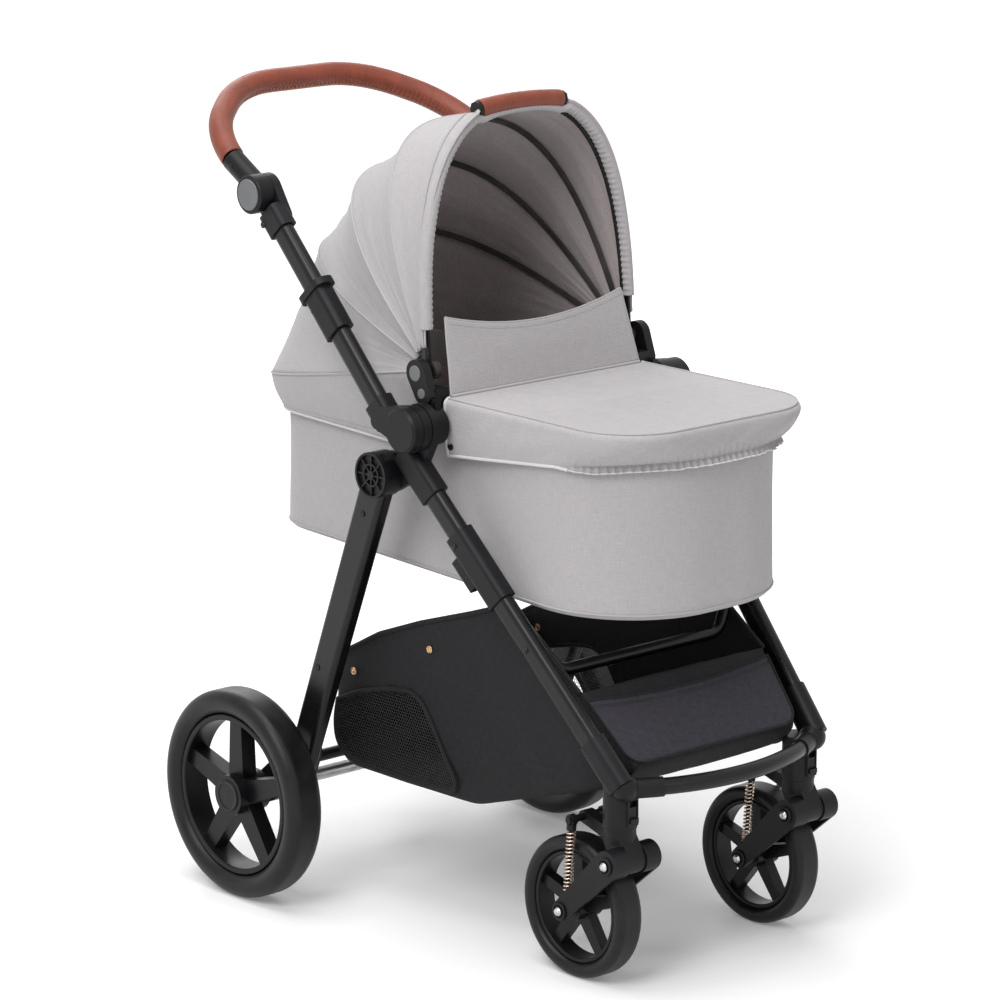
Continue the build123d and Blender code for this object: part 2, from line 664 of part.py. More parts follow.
def coil_heading(turn):
    a = radians(360.0 * turn)
    return Vector(-sin(a), cos(a), COIL_PITCH / (2 * pi * SPRING_R)).normalized()


def coil_arcs():
    arcs = []
    for k in range(2 * SPRING_TURNS):
        start, end = coil_point(k / 2), coil_point(k / 2 + 0.5)
        leave, arrive = coil_heading(k / 2), coil_heading(k / 2 + 0.5)
        chord, both = end - start, leave + arrive
        a, b, c = both.dot(both) - 4, -2 * chord.dot(both), chord.dot(chord)
        reach = (-b - (b * b - 4 * a * c) ** 0.5) / (2 * a)
        near, far = start + leave * reach, end - arrive * reach
        middle = (near + far) * 0.5
        arcs.append(Edge.make_tangent_arc(start, leave, middle))
        arcs.append(Edge.make_tangent_arc(middle, far - near, end))
    return arcs


def coil():
    with BuildPart() as p:
        with BuildLine() as path:
            add(coil_arcs())
        with BuildSketch(Plane(origin=coil_point(0), z_dir=coil_heading(0))) as s:
            Circle(SPRING_WIRE)
        sweep(s.sketch, path=path.line)
    return p.part.moved(strut_plane(0, SPRING_TOP + SPRING_WIRE).location)


COIL = coil()
COIL_STEPS = 16
wire_points = [coil_point(k / COIL_STEPS) for k in range(SPRING_TURNS * COIL_STEPS)]
least = min((q - p).length for k, p in enumerate(wire_points) for q in wire_points[k + COIL_STEPS // 2:])
print("coil gap", round(least - 2 * SPRING_WIRE, 2), "mm")


def springs(sign):
    with BuildPart() as p:
        for dx in (-SPRING_DX, SPRING_DX):
            add(Location((sign * FRONT_X + dx, 0, 0)) * COIL)
    return p.part


for sign, hand in ((1, "left"), (-1, "right")):
    save(fold_slider(sign), f"fold_slider_{hand}")
    save(handle_button(sign), f"handle_button_{hand}")
    save(swivel_lock(sign), f"swivel_lock_{hand}")
    save(rear_tyre(sign), f"rear_tyre_{hand}")
    save(rear_rim(sign), f"rear_rim_{hand}")
    save(caster_fork(sign), f"caster_fork_{hand}")
    save(front_arm(sign), f"front_arm_{hand}")
    save(springs(sign), f"springs_{hand}")
    save(front_tyre(sign), f"front_tyre_{hand}")
    save(front_rim(sign), f"front_rim_{hand}")


def cot_plan(shrink):
    front_r, back_r = 140.0 - shrink, 80.0 - shrink
    with BuildSketch(Plane.XY) as s:
        for way in (-1, 1):
            with Locations((way * (COT_FRONT_W - 140), fwd(COT_NOSE_D - 140))):
                Circle(front_r)
            with Locations((way * (COT_BACK_W - 80), fwd(COT_TAIL_D + 80))):
                Circle(back_r)
        make_hull()
    return s.sketch


def cot_block(shrink, z0, z1):
    with BuildPart() as p:
        extrude(cot_plan(shrink).moved(Location((0, 0, z0))), amount=z1 - z0)
    return p.part


cot_outer = cot_block(0, COT_BASE_Z, COT_TOP_Z)
with BuildPart() as cot_tub:
    add(cot_outer)
    fillet(cot_tub.faces().sort_by(Axis.Z)[0].edges(), 10)
    add(cot_block(COT_WALL, COT_BASE_Z + 10, COT_TOP_Z + 5), mode=Mode.SUBTRACT)
save(cot_tub.part, "cot_tub")

BAND_T = 4.5
BAND_Z0, BAND_Z1 = 612.0, 676.0
with BuildPart() as hood_band:
    add(cot_block(-BAND_T, BAND_Z0, BAND_Z1))
    add(cot_block(0, BAND_Z0 - 5, BAND_Z1 + 5), mode=Mode.SUBTRACT)
    block(-300, 300, FOLD_D - 26, FOLD_D + 600, 500, 800, Mode.SUBTRACT)
save(hood_band.part, "hood_band")

MATTRESS_T = 38.0
with BuildPart() as mattress:
    add(cot_block(COT_WALL + 3, COT_BASE_Z + 10, COT_BASE_Z + 10 + MATTRESS_T))
    fillet(mattress.faces().sort_by(Axis.Z)[-1].edges(), 16)
save(mattress.part, "mattress")


def apron_block(shrink, z0, z1):
    length = 2 * (APRON_NOSE_D - APRON_REAR_D)
    with BuildPart() as p:
        with BuildSketch(Plane.XY.offset(z0)) as s:
            with Locations((0, fwd(APRON_NOSE_D) + length / 2)):
                RectangleRounded(2 * (APRON_W - shrink), length - 2 * shrink, 88 - shrink)
        extrude(s.sketch, amount=z1 - z0)
    return p.part


with BuildPart() as apron:
    add(apron_block(0, 600, APRON_TOP_Z))
    fillet(apron.faces().sort_by(Axis.Z)[-1].edges(), 9)
    add(apron_block(APRON_T, 590, APRON_TOP_Z - APRON_T), mode=Mode.SUBTRACT)
    with BuildSketch(side(-300)):
        with BuildLine():
            Polyline((fwd(APRON_REAR_D), 560), (fwd(APRON_REAR_D), 619), (fwd(660), 654), (fwd(660), 560),
                     close=True)
        make_face()
    extrude(amount=600, mode=Mode.SUBTRACT)
    block(-300, 300, APRON_REAR_D, APRON_REAR_D - 500, 500, 800, Mode.SUBTRACT)
save(apron.part, "apron")

FLAP_D, FLAP_Z = 285.8, 692.3
FLAP_HEM = 0.6
FLAP_T = 2.4
flap_up = Vector(0, 23.0, 90.0).normalized()
flap_plane = Plane(origin=(0, fwd(FLAP_D), FLAP_Z), x_dir=(1, 0, 0), z_dir=Vector(1, 0, 0).cross(flap_up))
with BuildPart() as wind_flap:
    with BuildSketch(flap_plane):
        with BuildLine():
            Polyline((141, 93), (157, -FLAP_HEM), (-157, -FLAP_HEM), (-141, 93))
            ThreePointArc((-141, 93), (0, 70), (141, 93))
        make_face()
    extrude(amount=FLAP_T / 2, both=True)
save(wind_flap.part, "wind_flap")

MOUNT_X0 = POCKET_X0 + 0.3
MOUNT_X1 = 193.0
HOOD_PIN_R = 5.0
BRIDGE_X0 = 162.0
HOOD_BUTTON = (HOOD_D, HOOD_Z, 10.0)
RELEASE_BUTTON = (268.0, 697.0, 6.5)
PRESS = 3.0
PUSH_FACE = 194.5
with BuildPart() as cot_mounts:
    hull_slab(MOUNT_X0, MOUNT_X1, [(HOOD_D, HOOD_Z, 17), (FOLD_D - 4, 694, 9), (FOLD_D - 14, 694, 9)])
    block(MOUNT_X0, POCKET_X1 - 0.3, FOLD_D - TONGUE_W / 2, FOLD_D + TONGUE_W / 2, FOLD_Z - 17, 692)
    block(BRIDGE_X0, MOUNT_X0 + 1, FOLD_D - 22, FOLD_D + 5, 687, 703)
    block(130, SOCKET_X0 - 1.5, FOLD_D - 22, FOLD_D + 5, 640, 690)
    rod(155, MOUNT_X0 + 1, HOOD_D, HOOD_Z, HOOD_PIN_R)
    add(cot_outer, mode=Mode.SUBTRACT)
    block(100, 162, FOLD_D - 40, FOLD_D + 40, COT_TOP_Z, 692, Mode.SUBTRACT)
    for d, z, r in (HOOD_BUTTON, RELEASE_BUTTON):
        rod(PUSH_FACE - 5 - PRESS - 0.5, PUSH_FACE + 5, d, z, r, Mode.SUBTRACT)
    mirror(about=Plane.YZ)
save(cot_mounts.part, "cot_mounts")


def push_button(sign, spot):
    d, z, r = spot
    with BuildPart() as p:
        rod(sign * (PUSH_FACE - 5), sign * PUSH_FACE, d, z, r - RUN)
        fillet(p.faces().sort_by(Axis.X)[-1 if sign > 0 else 0].edges(), 1)
    return p.part


BOW_T, BOW_W = 3.2, 7.0
ARCH_POWER = 2.7
ARCH_BASE = 30.0
BOWS = {
    "hood_bow_rear": (20.0, 160.0, 340.0, 158.0, 161.2),
    "hood_bow_middle": (42.0, 163.0, 320.0, 161.6, 164.8),
    "hood_bow_inner": (64.0, 166.0, 312.0, 165.2, 168.4),
    "front_bow": (86.0, 169.0, 316.0, 168.8, 172.0),
}
HOOD_TAIL = (-10.0, 165.0, 404.0, 3.6)
FABRIC_GAP = 5.0
FABRIC_T = 2.5


def bow_plane(angle):
    a = radians(angle)
    return Plane(origin=(0, fwd(HOOD_D), HOOD_Z), x_dir=(1, 0, 0), z_dir=(0, -sin(a), cos(a)))


def arch_points(width, height, base, count, first, power=ARCH_POWER):
    points = []
    for k in range(count + 1):
        a = radians(first + (180.0 - 2 * first) * k / count)
        flat, tall = abs(cos(a)) ** (2 / power), abs(sin(a)) ** (2 / power)
        points.append((width * flat * (1 if cos(a) >= 0 else -1), base + (height - base) * tall))
    return points


def bow(angle, width, height, eye0, eye1):
    eye = (eye0 + eye1) / 2
    points = [(eye, 6), (eye, 34)] + arch_points(width, height, 40, 14, 14) + [(-eye, 34), (-eye, 6)]
    with BuildPart() as p:
        with BuildLine(bow_plane(angle)) as path:
            Spline(*points)
        start = Plane(origin=path.line @ 0, z_dir=path.line % 0, x_dir=bow_plane(angle).z_dir)
        with BuildSketch(start) as s:
            Rectangle(BOW_W, BOW_T)
        sweep(s.sketch, path=path.line)
        for way in (-1, 1):
            rod(way * eye0, way * eye1, HOOD_D, HOOD_Z, 11)
            rod(way * (eye0 - 3), way * (eye1 + 3), HOOD_D, HOOD_Z, HOOD_PIN_R + RUN, Mode.SUBTRACT)
    return p.part


ARCH_FACETS = 48


def even_points(points, count):
    spans = [sqrt((x1 - x0) ** 2 + (y1 - y0) ** 2) for (x0, y0), (x1, y1) in zip(points, points[1:])]
    made, k, before = [points[0]], 0, 0.0
    for n in range(1, count):
        want = sum(spans) * n / count
        while before + spans[k] < want:
            before, k = before + spans[k], k + 1
        t = (want - before) / spans[k]
        (x0, y0), (x1, y1) = points[k], points[k + 1]
        made.append((x0 + (x1 - x0) * t, y0 + (y1 - y0) * t))
    return made + [points[-1]]


def arch_ring(angle, width, height, power):
    ring = []
    for grow, way in ((FABRIC_GAP + FABRIC_T, 1), (FABRIC_GAP, -1)):
        fine = arch_points(width + grow, height + grow, ARCH_BASE, 720, 0, power)
        ring += even_points(fine, ARCH_FACETS)[::way]
    with BuildSketch(bow_plane(angle)) as s:
        with BuildLine():
            Polyline(*ring, close=True)
        make_face()
    return s.sketch.face()


def gore(front, back):
    with BuildPart() as p:
        loft([arch_ring(*front), arch_ring(*back)], ruled=True)
    return p.part


bows = {name: bow(*spec) for name, spec in BOWS.items()}
for name, solid in bows.items():
    save(solid, name)
ORDER = ["front_bow", "hood_bow_inner", "hood_bow_middle", "hood_bow_rear"]
STATIONS = [(*BOWS[name][:3], ARCH_POWER) for name in ORDER] + [HOOD_TAIL]
EDGE_GAP = 0.12
gores = []
for k in range(4):
    (a0, *arch0), (a1, *arch1) = STATIONS[k], STATIONS[k + 1]
    lead = 2.4 if k == 0 else -EDGE_GAP
    if k == 0:
        arch0 = [arch0[0] + 1, arch0[1] + 2.5, arch0[2]]
    gores.append(gore((a0 + lead, *arch0), (a1 + EDGE_GAP, *arch1)))
    save(gores[-1], f"hood_gore_{k + 1}")

GRIP_HALF = 70.0
with BuildPart() as hood_grip:
    with BuildLine(bow_plane(BOWS["front_bow"][0])) as path:
        top = BOWS["front_bow"][2] + 3
        ThreePointArc((-GRIP_HALF, top - 6.5), (0, top), (GRIP_HALF, top - 6.5))
    with BuildSketch(Plane(origin=path.line @ 0, z_dir=path.line % 0)):
        Circle(12)
    sweep()
    add(bows["front_bow"], mode=Mode.SUBTRACT)
    add(gores[0], mode=Mode.SUBTRACT)
save(hood_grip.part.solids().sort_by(SortBy.VOLUME)[-1], "hood_grip")

for sign, hand in ((1, "left"), (-1, "right")):
    save(push_button(sign, HOOD_BUTTON), f"hood_button_{hand}")
    save(push_button(sign, RELEASE_BUTTON), f"release_button_{hand}")
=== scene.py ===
import json
import math

import bpy
import bmesh
from mathutils import Matrix, Vector, noise

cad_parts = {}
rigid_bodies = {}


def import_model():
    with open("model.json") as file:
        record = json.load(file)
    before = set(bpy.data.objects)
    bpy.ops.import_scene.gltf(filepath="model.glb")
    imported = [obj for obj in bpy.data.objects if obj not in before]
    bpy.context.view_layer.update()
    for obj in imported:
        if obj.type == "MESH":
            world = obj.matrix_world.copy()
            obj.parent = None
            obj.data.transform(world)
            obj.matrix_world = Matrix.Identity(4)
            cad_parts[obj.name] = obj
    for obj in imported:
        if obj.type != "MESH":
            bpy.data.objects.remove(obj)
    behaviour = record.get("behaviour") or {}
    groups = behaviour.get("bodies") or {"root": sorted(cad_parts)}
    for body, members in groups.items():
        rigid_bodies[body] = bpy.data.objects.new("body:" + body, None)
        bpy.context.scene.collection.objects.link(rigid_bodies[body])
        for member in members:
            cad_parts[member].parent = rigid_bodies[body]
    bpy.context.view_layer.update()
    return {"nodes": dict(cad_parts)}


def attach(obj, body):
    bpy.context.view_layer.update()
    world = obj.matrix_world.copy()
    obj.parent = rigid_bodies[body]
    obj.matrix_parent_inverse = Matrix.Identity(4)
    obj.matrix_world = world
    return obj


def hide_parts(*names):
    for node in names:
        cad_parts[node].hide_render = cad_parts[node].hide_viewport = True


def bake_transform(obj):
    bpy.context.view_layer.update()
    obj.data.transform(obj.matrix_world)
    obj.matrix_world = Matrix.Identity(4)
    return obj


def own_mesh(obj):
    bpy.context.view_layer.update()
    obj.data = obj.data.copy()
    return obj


for startObject in list(bpy.data.objects):
    bpy.data.objects.remove(startObject)

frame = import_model()
nodes = frame["nodes"]
axleY = 0.2185  # rear axle in the row frame, metres
print("frame loaded", len(nodes), "nodes")


def at(x, d, z):
    return Vector((x / 1000, axleY - d / 1000, z / 1000))  # mm across, mm ahead of the rear axle, mm up


def newMaterial(name, coords="Object"):
    mat = bpy.data.materials.new(name)
    mat.use_nodes = True
    tree = mat.node_tree
    tree.nodes.clear()
    out = tree.nodes.new("ShaderNodeOutputMaterial")
    shader = tree.nodes.new("ShaderNodeBsdfPrincipled")
    tree.links.new(shader.outputs["BSDF"], out.inputs["Surface"])
    return mat, tree, shader, addNode(tree, "ShaderNodeTexCoord").outputs[coords]


def feed(tree, node, inputs):
    for key, value in inputs.items():
        if hasattr(value, "is_output"):
            tree.links.new(value, node.inputs[key])
        else:
            node.inputs[key].default_value = value


def addNode(tree, kind, inputs=None, **settings):
    made = tree.nodes.new(kind)
    for key, value in settings.items():
        setattr(made, key, value)
    feed(tree, made, inputs or {})
    return made


def mathNode(tree, how, a, b=0.0, c=0.0):
    return addNode(tree, "ShaderNodeMath", {0: a, 1: b, 2: c}, operation=how).outputs[0]


def rampNode(tree, fac, low, high, lowAt=0.0, highAt=1.0):
    ramp = addNode(tree, "ShaderNodeValToRGB", {"Fac": fac})
    ramp.color_ramp.elements[0].position = lowAt
    ramp.color_ramp.elements[0].color = (*low, 1)
    ramp.color_ramp.elements[1].position = highAt
    ramp.color_ramp.elements[1].color = (*high, 1)
    return ramp.outputs["Color"]


def noiseNode(tree, where, scale, detail=3.0, stretch=None):
    if stretch:
        where = addNode(tree, "ShaderNodeMapping", {"Vector": where, "Scale": stretch}).outputs[0]
    return addNode(tree, "ShaderNodeTexNoise", {"Vector": where, "Scale": scale, "Detail": detail}).outputs["Fac"]


def bumpTo(tree, shader, height, strength, distance):
    made = addNode(tree, "ShaderNodeBump", {"Height": height, "Strength": strength, "Distance": distance})
    tree.links.new(made.outputs[0], shader.inputs["Normal"])


def mouldedFinish(name, low, high, rough, grain, grainDepth, coat=0.0, gloss=0.2):
    mat, tree, shader, where = newMaterial(name)
    cloud = noiseNode(tree, where, 14.0, 4.0)
    feed(tree, shader, {
        "Base Color": rampNode(tree, cloud, low, high, 0.35, 0.68),
        "Roughness": mathNode(tree, "MULTIPLY_ADD", cloud, 0.16, rough - 0.08),
        "Coat Weight": coat, "Coat Roughness": 0.3, "Specular IOR Level": gloss})
    bumpTo(tree, shader, noiseNode(tree, where, grain, 2.0), 0.35, grainDepth)
    return mat


def wovenFinish(name, dark, light, thread, mottle, rough=0.85, sheen=0.25, depth=0.0004, fleck=0.5):
    mat, tree, shader, uv = newMaterial(name, "UV")
    warp = noiseNode(tree, uv, 1.0, 2.0, (thread, thread * 0.09, 1))
    weft = noiseNode(tree, uv, 1.0, 2.0, (thread * 0.09, thread, 1))
    cloud = noiseNode(tree, uv, mottle, 3.0)
    mixed = mathNode(tree, "ADD", mathNode(tree, "MULTIPLY", warp, 0.5), mathNode(tree, "MULTIPLY", weft, 0.5))
    heather = mathNode(tree, "MULTIPLY_ADD", mathNode(tree, "SUBTRACT", cloud, 0.5), 0.35, mixed)
    waves = {"Vector": uv, "Scale": thread * 0.22, "Distortion": 0.6}
    across, along = (addNode(tree, "ShaderNodeTexWave", waves, bands_direction=way).outputs["Fac"] for way in "XY")
    weave = mathNode(tree, "ADD", mathNode(tree, "MULTIPLY", across, along), mathNode(tree, "MULTIPLY", mixed, 1.2))
    bumpTo(tree, shader, weave, 0.45, depth)
    feed(tree, shader, {
        "Base Color": rampNode(tree, heather, dark, light, 0.5 - 0.32 * fleck, 0.5 + 0.32 * fleck),
        "Roughness": rough, "Sheen Weight": sheen, "Sheen Roughness": 0.5, "Specular IOR Level": 0.25})
    return mat


def leatherFinish(name, low, high):
    mat, tree, shader, where = newMaterial(name)
    pebble = addNode(tree, "ShaderNodeTexVoronoi", {"Vector": where, "Scale": 780.0, "Randomness": 0.9},
                     feature="SMOOTH_F1").outputs["Distance"]
    cloud = noiseNode(tree, where, 55.0, 5.0)
    worn = mathNode(tree, "MULTIPLY_ADD", pebble, -0.55, mathNode(tree, "ADD", cloud, 0.12))
    feed(tree, shader, {"Base Color": rampNode(tree, worn, low, high, 0.15, 0.7),
                        "Roughness": mathNode(tree, "MULTIPLY_ADD", pebble, 0.25, 0.36)})
    height = mathNode(tree, "ADD", mathNode(tree, "MULTIPLY", pebble, -1.0), mathNode(tree, "MULTIPLY", cloud, 0.4))
    bumpTo(tree, shader, height, 0.55, 0.0007)
    return mat


def metalFinish(name, low, high, rough, streak):
    mat, tree, shader, where = newMaterial(name)
    brush = noiseNode(tree, where, 1.0, 3.0, streak)
    feed(tree, shader, {"Base Color": rampNode(tree, brush, low, high, 0.3, 0.7), "Metallic": 1.0,
                        "Roughness": mathNode(tree, "MULTIPLY_ADD", brush, 0.2, rough - 0.1)})
    bumpTo(tree, shader, brush, 0.15, 0.0002)
    return mat


def tyreFinish(name, centre, ringRadii):
    mat, tree, shader, where = newMaterial(name)
    shift = {"Vector": where, "Location": (0, -centre[1], -centre[2])}
    centred = addNode(tree, "ShaderNodeMapping", shift).outputs[0]
    parts = addNode(tree, "ShaderNodeSeparateXYZ", {"Vector": centred})
    square = mathNode(tree, "ADD", mathNode(tree, "POWER", parts.outputs[1], 2.0),
                      mathNode(tree, "POWER", parts.outputs[2], 2.0))
    radius = mathNode(tree, "SQRT", square)
    groove = None
    for ring in ringRadii:
        offRing = mathNode(tree, "ABSOLUTE", mathNode(tree, "SUBTRACT", radius, ring))
        near = mathNode(tree, "LESS_THAN", offRing, 0.0007)
        groove = near if groove is None else mathNode(tree, "MAXIMUM", groove, near)
    dust = noiseNode(tree, where, 38.0, 5.0)
    fine = noiseNode(tree, where, 900.0, 2.0)
    feed(tree, shader, {
        "Base Color": rampNode(tree, dust, (0.004, 0.004, 0.0045), (0.011, 0.011, 0.0115), 0.3, 0.75),
        "Roughness": mathNode(tree, "MULTIPLY_ADD", dust, 0.2, 0.3), "Specular IOR Level": 0.26})
    height = mathNode(tree, "SUBTRACT", mathNode(tree, "MULTIPLY", fine, 0.12), groove)
    bumpTo(tree, shader, height, 0.6, 0.0006)
    return mat


def netFinish(name):
    mat, tree, shader, where = newMaterial(name)
    twist = noiseNode(tree, where, 600.0, 2.0)
    feed(tree, shader, {"Base Color": rampNode(tree, twist, (0.012, 0.012, 0.013), (0.045, 0.045, 0.047)),
                        "Roughness": 0.6})
    bumpTo(tree, shader, twist, 0.4, 0.0003)
    return mat


mouldedLooks = {
    "tubePaint": {"low": (0.0036, 0.0035, 0.0042), "high": (0.0075, 0.0073, 0.0086), "rough": 0.28, "grain": 420.0,
                  "grainDepth": 0.00012, "coat": 0.06, "gloss": 0.24},
    "blackPlastic": {"low": (0.0052, 0.005, 0.006), "high": (0.0105, 0.0102, 0.012), "rough": 0.42, "grain": 1100.0,
                     "grainDepth": 0.0003},
    "rimPlastic": {"low": (0.0042, 0.004, 0.0048), "high": (0.0095, 0.0092, 0.0106), "rough": 0.36, "grain": 900.0,
                   "grainDepth": 0.00025},
    "greyPlastic": {"low": (0.16, 0.162, 0.166), "high": (0.20, 0.202, 0.206), "rough": 0.42, "grain": 1100.0,
                    "grainDepth": 0.0002},
    "bowSleeve": {"low": (0.05, 0.044, 0.044), "high": (0.095, 0.085, 0.085), "rough": 0.45, "grain": 900.0,
                  "grainDepth": 0.0003},
    "trimRubber": {"low": (0.010, 0.010, 0.010), "high": (0.022, 0.022, 0.022), "rough": 0.6, "grain": 700.0,
                   "grainDepth": 0.0003},
    "leatherThread": {"low": (0.30, 0.10, 0.045), "high": (0.42, 0.15, 0.07), "rough": 0.6, "grain": 1500.0,
                      "grainDepth": 0.0003},
    "greyThread": {"low": (0.42, 0.41, 0.41), "high": (0.54, 0.53, 0.53), "rough": 0.8, "grain": 1500.0,
                   "grainDepth": 0.0003},
    "blackThread": {"low": (0.02, 0.02, 0.022), "high": (0.05, 0.05, 0.053), "rough": 0.7, "grain": 1500.0,
                    "grainDepth": 0.0003},
}
wovenLooks = {
    "heatherCloth": {"dark": (0.398, 0.380, 0.389), "light": (0.530, 0.507, 0.518), "thread": 720.0, "mottle": 420.0,
                     "fleck": 0.9},
    "liningCloth": {"dark": (0.40, 0.352, 0.350), "light": (0.60, 0.54, 0.535), "thread": 720.0, "mottle": 420.0,
                    "sheen": 0.1, "fleck": 0.9},
    "whiteCloth": {"dark": (0.60, 0.59, 0.58), "light": (0.76, 0.75, 0.74), "thread": 1500.0, "mottle": 300.0},
    "basketCloth": {"dark": (0.0042, 0.004, 0.005), "light": (0.0115, 0.011, 0.0138), "thread": 900.0, "mottle": 120.0,
                    "rough": 0.72, "sheen": 0.04},
    "slateCloth": {"dark": (0.022, 0.0205, 0.0275), "light": (0.043, 0.040, 0.052), "thread": 900.0, "mottle": 120.0,
                   "rough": 0.66, "sheen": 0.05},
}
metalLooks = {
    "zincBolt": {"low": (0.42, 0.42, 0.43), "high": (0.66, 0.66, 0.67), "rough": 0.32, "streak": (60.0, 300.0, 300.0)},
    "darkScrew": {"low": (0.02, 0.02, 0.021), "high": (0.05, 0.05, 0.052), "rough": 0.4, "streak": (200.0,) * 3},
    "copperCoil": {"low": (0.60, 0.46, 0.37), "high": (0.86, 0.70, 0.58), "rough": 0.28, "streak": (180.0,) * 3},
    "brassSnap": {"low": (0.50, 0.30, 0.16), "high": (0.78, 0.52, 0.32), "rough": 0.3, "streak": (220.0,) * 3},
}
finish = {
    "cognacLeather": leatherFinish("cognacLeather", (0.166, 0.0276, 0.0100), (0.258, 0.047, 0.0172)),
    "netThread": netFinish("netThread"),
    "rearTyre": tyreFinish("rearTyre", at(0, 0, 137.5), (0.1145, 0.1205)),
    "frontTyre": tyreFinish("frontTyre", at(0, 522, 90), (0.0765,)),
}
for maker, looks in ((mouldedFinish, mouldedLooks), (wovenFinish, wovenLooks), (metalFinish, metalLooks)):
    for lookName, look in looks.items():
        finish[lookName] = maker(lookName, **look)
print("materials made", len(finish))

nodeFinish = {
    "tubePaint": ["lower_tubes", "upper_tubes", "rear_legs", "rear_cross_bar", "front_cross_bar", "u_bar",
                  "handle_tube"],
    "blackPlastic": ["hub_housings", "adapter_hubs", "lower_brackets", "front_corners", "upper_knuckles",
                     "handle_joints", "handle_pivots", "leg_hub_caps", "rear_feet", "brake_pedal", "cot_mounts",
                     "front_bow"],
    "bowSleeve": ["hood_bow_rear", "hood_bow_middle", "hood_bow_inner"],
    "zincBolt": ["rear_axle"],
}
pairedFinish = {
    "blackPlastic": ["fold_slider", "swivel_lock", "caster_fork", "front_arm"],
    "greyPlastic": ["handle_button", "release_button", "hood_button"],
    "rimPlastic": ["rear_rim", "front_rim"], "rearTyre": ["rear_tyre"], "frontTyre": ["front_tyre"],
}
for finishName, stems in pairedFinish.items():
    nodeFinish.setdefault(finishName, []).extend(f"{stem}_{hand}" for stem in stems for hand in ("left", "right"))
for finishName, members in nodeFinish.items():
    for member in members:
        nodes[member].data.materials.clear()
        nodes[member].data.materials.append(finish[finishName])


def linkObject(name, mesh):
    made = bpy.data.objects.new(name, mesh)
    bpy.context.scene.collection.objects.link(made)
    return made


def gridPiece(name, rows, materialNames, closeU=False, closeV=False, capStart=False, capEnd=False):
    rowCount, colCount = len(rows), len(rows[0])
    points = [p for row in rows for p in row]
    faces = []
    for i in range(rowCount if closeV else rowCount - 1):
        for j in range(colCount if closeU else colCount - 1):
            a, b = i * colCount + j, i * colCount + (j + 1) % colCount
            c, d = ((i + 1) % rowCount) * colCount + (j + 1) % colCount, ((i + 1) % rowCount) * colCount + j
            faces.append((a, b, c, d))
    if capStart:
        faces.append(tuple(range(colCount))[::-1])
    if capEnd:
        faces.append(tuple((rowCount - 1) * colCount + j for j in range(colCount)))
    mesh = bpy.data.meshes.new(name)
    mesh.from_pydata([tuple(p) for p in points], [], faces)
    middle = rows[rowCount // 2]
    across = runLengths(list(middle) + [middle[0]])
    down = [0.0]
    for i in range(rowCount - 1):
        down.append(down[-1] + sum((rows[i + 1][j] - rows[i][j]).length for j in range(colCount)) / colCount)
    layer = mesh.uv_layers.new(name="cloth")
    for poly in mesh.polygons:
        cols = [mesh.loops[k].vertex_index % colCount for k in poly.loop_indices]
        wraps = closeU and max(cols) - min(cols) > colCount // 2
        for k in poly.loop_indices:
            index = mesh.loops[k].vertex_index
            i, j = divmod(index, colCount)
            layer.data[k].uv = (across[colCount] if wraps and j == 0 else across[j], down[i])
    for materialName in materialNames:
        mesh.materials.append(finish[materialName])
    mesh.shade_smooth()
    return linkObject(name, mesh)


def applyModifiers(piece):
    graph = bpy.context.evaluated_depsgraph_get()
    mesh = bpy.data.meshes.new_from_object(piece.evaluated_get(graph), preserve_all_data_layers=True, depsgraph=graph)
    old = piece.data
    piece.modifiers.clear()
    piece.data = mesh
    bpy.data.meshes.remove(old)
    return piece


def thicken(piece, thickness, lining=False, side=-1.0):
    coat = piece.modifiers.new("cloth thickness", "SOLIDIFY")
    coat.thickness = thickness
    coat.offset = side
    coat.use_rim = True
    if lining:
        coat.material_offset = 1
    return applyModifiers(piece)


def editMesh(piece, change):
    work = bmesh.new()
    work.from_mesh(piece.data)
    change(work)
    work.to_mesh(piece.data)
    work.free()
    return piece


def faceOut(piece):
    return editMesh(piece, lambda work: bmesh.ops.recalc_face_normals(work, faces=work.faces))


def turnOutward(piece, measure):
    if sum(measure(poly) for poly in piece.data.polygons) < 0:
        piece.data.flip_normals()


def runLengths(points):
    lengths = [0.0]
    for a, b in zip(points, points[1:]):
        lengths.append(lengths[-1] + (b - a).length)
    return lengths


def resampled(points, count, closed=False):
    loop = list(points) + ([points[0]] if closed else [])
    lengths = runLengths(loop)
    steps = count if closed else count - 1
    made, k = [], 0
    for n in range(count):
        want = lengths[-1] * n / steps
        while k < len(lengths) - 2 and lengths[k + 1] < want:
            k += 1
        span = lengths[k + 1] - lengths[k]
        made.append(loop[k].lerp(loop[k + 1], (want - lengths[k]) / span if span > 1e-9 else 0.0))
    return made


def mix(u, v, s):
    return u + (v - u) * s


def bumps(x, y, z):
    return noise.noise(Vector((x, y, z)))


def unitSteps(count):
    return [-1 + 2 * j / count for j in range(count + 1)]


def turnedWay(side, up, a):
    return side * math.cos(a) + up * math.sin(a)


def place(piece, body, node=None):
    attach(piece, body)
    if node:
        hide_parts(node)
    return piece


def smoothStep(low, high, value):
    t = max(0.0, min(1.0, (value - low) / (high - low)))
    return t * t * (3 - 2 * t)


def pathFrames(points, hint):
    frames = []
    for k, p in enumerate(points):
        ahead = (points[min(k + 1, len(points) - 1)] - points[max(k - 1, 0)]).normalized()
        side = hint.cross(ahead)
        side = side.normalized() if side.length > 1e-6 else Vector((1, 0, 0))
        frames.append((p, ahead, side, ahead.cross(side).normalized()))
    return frames


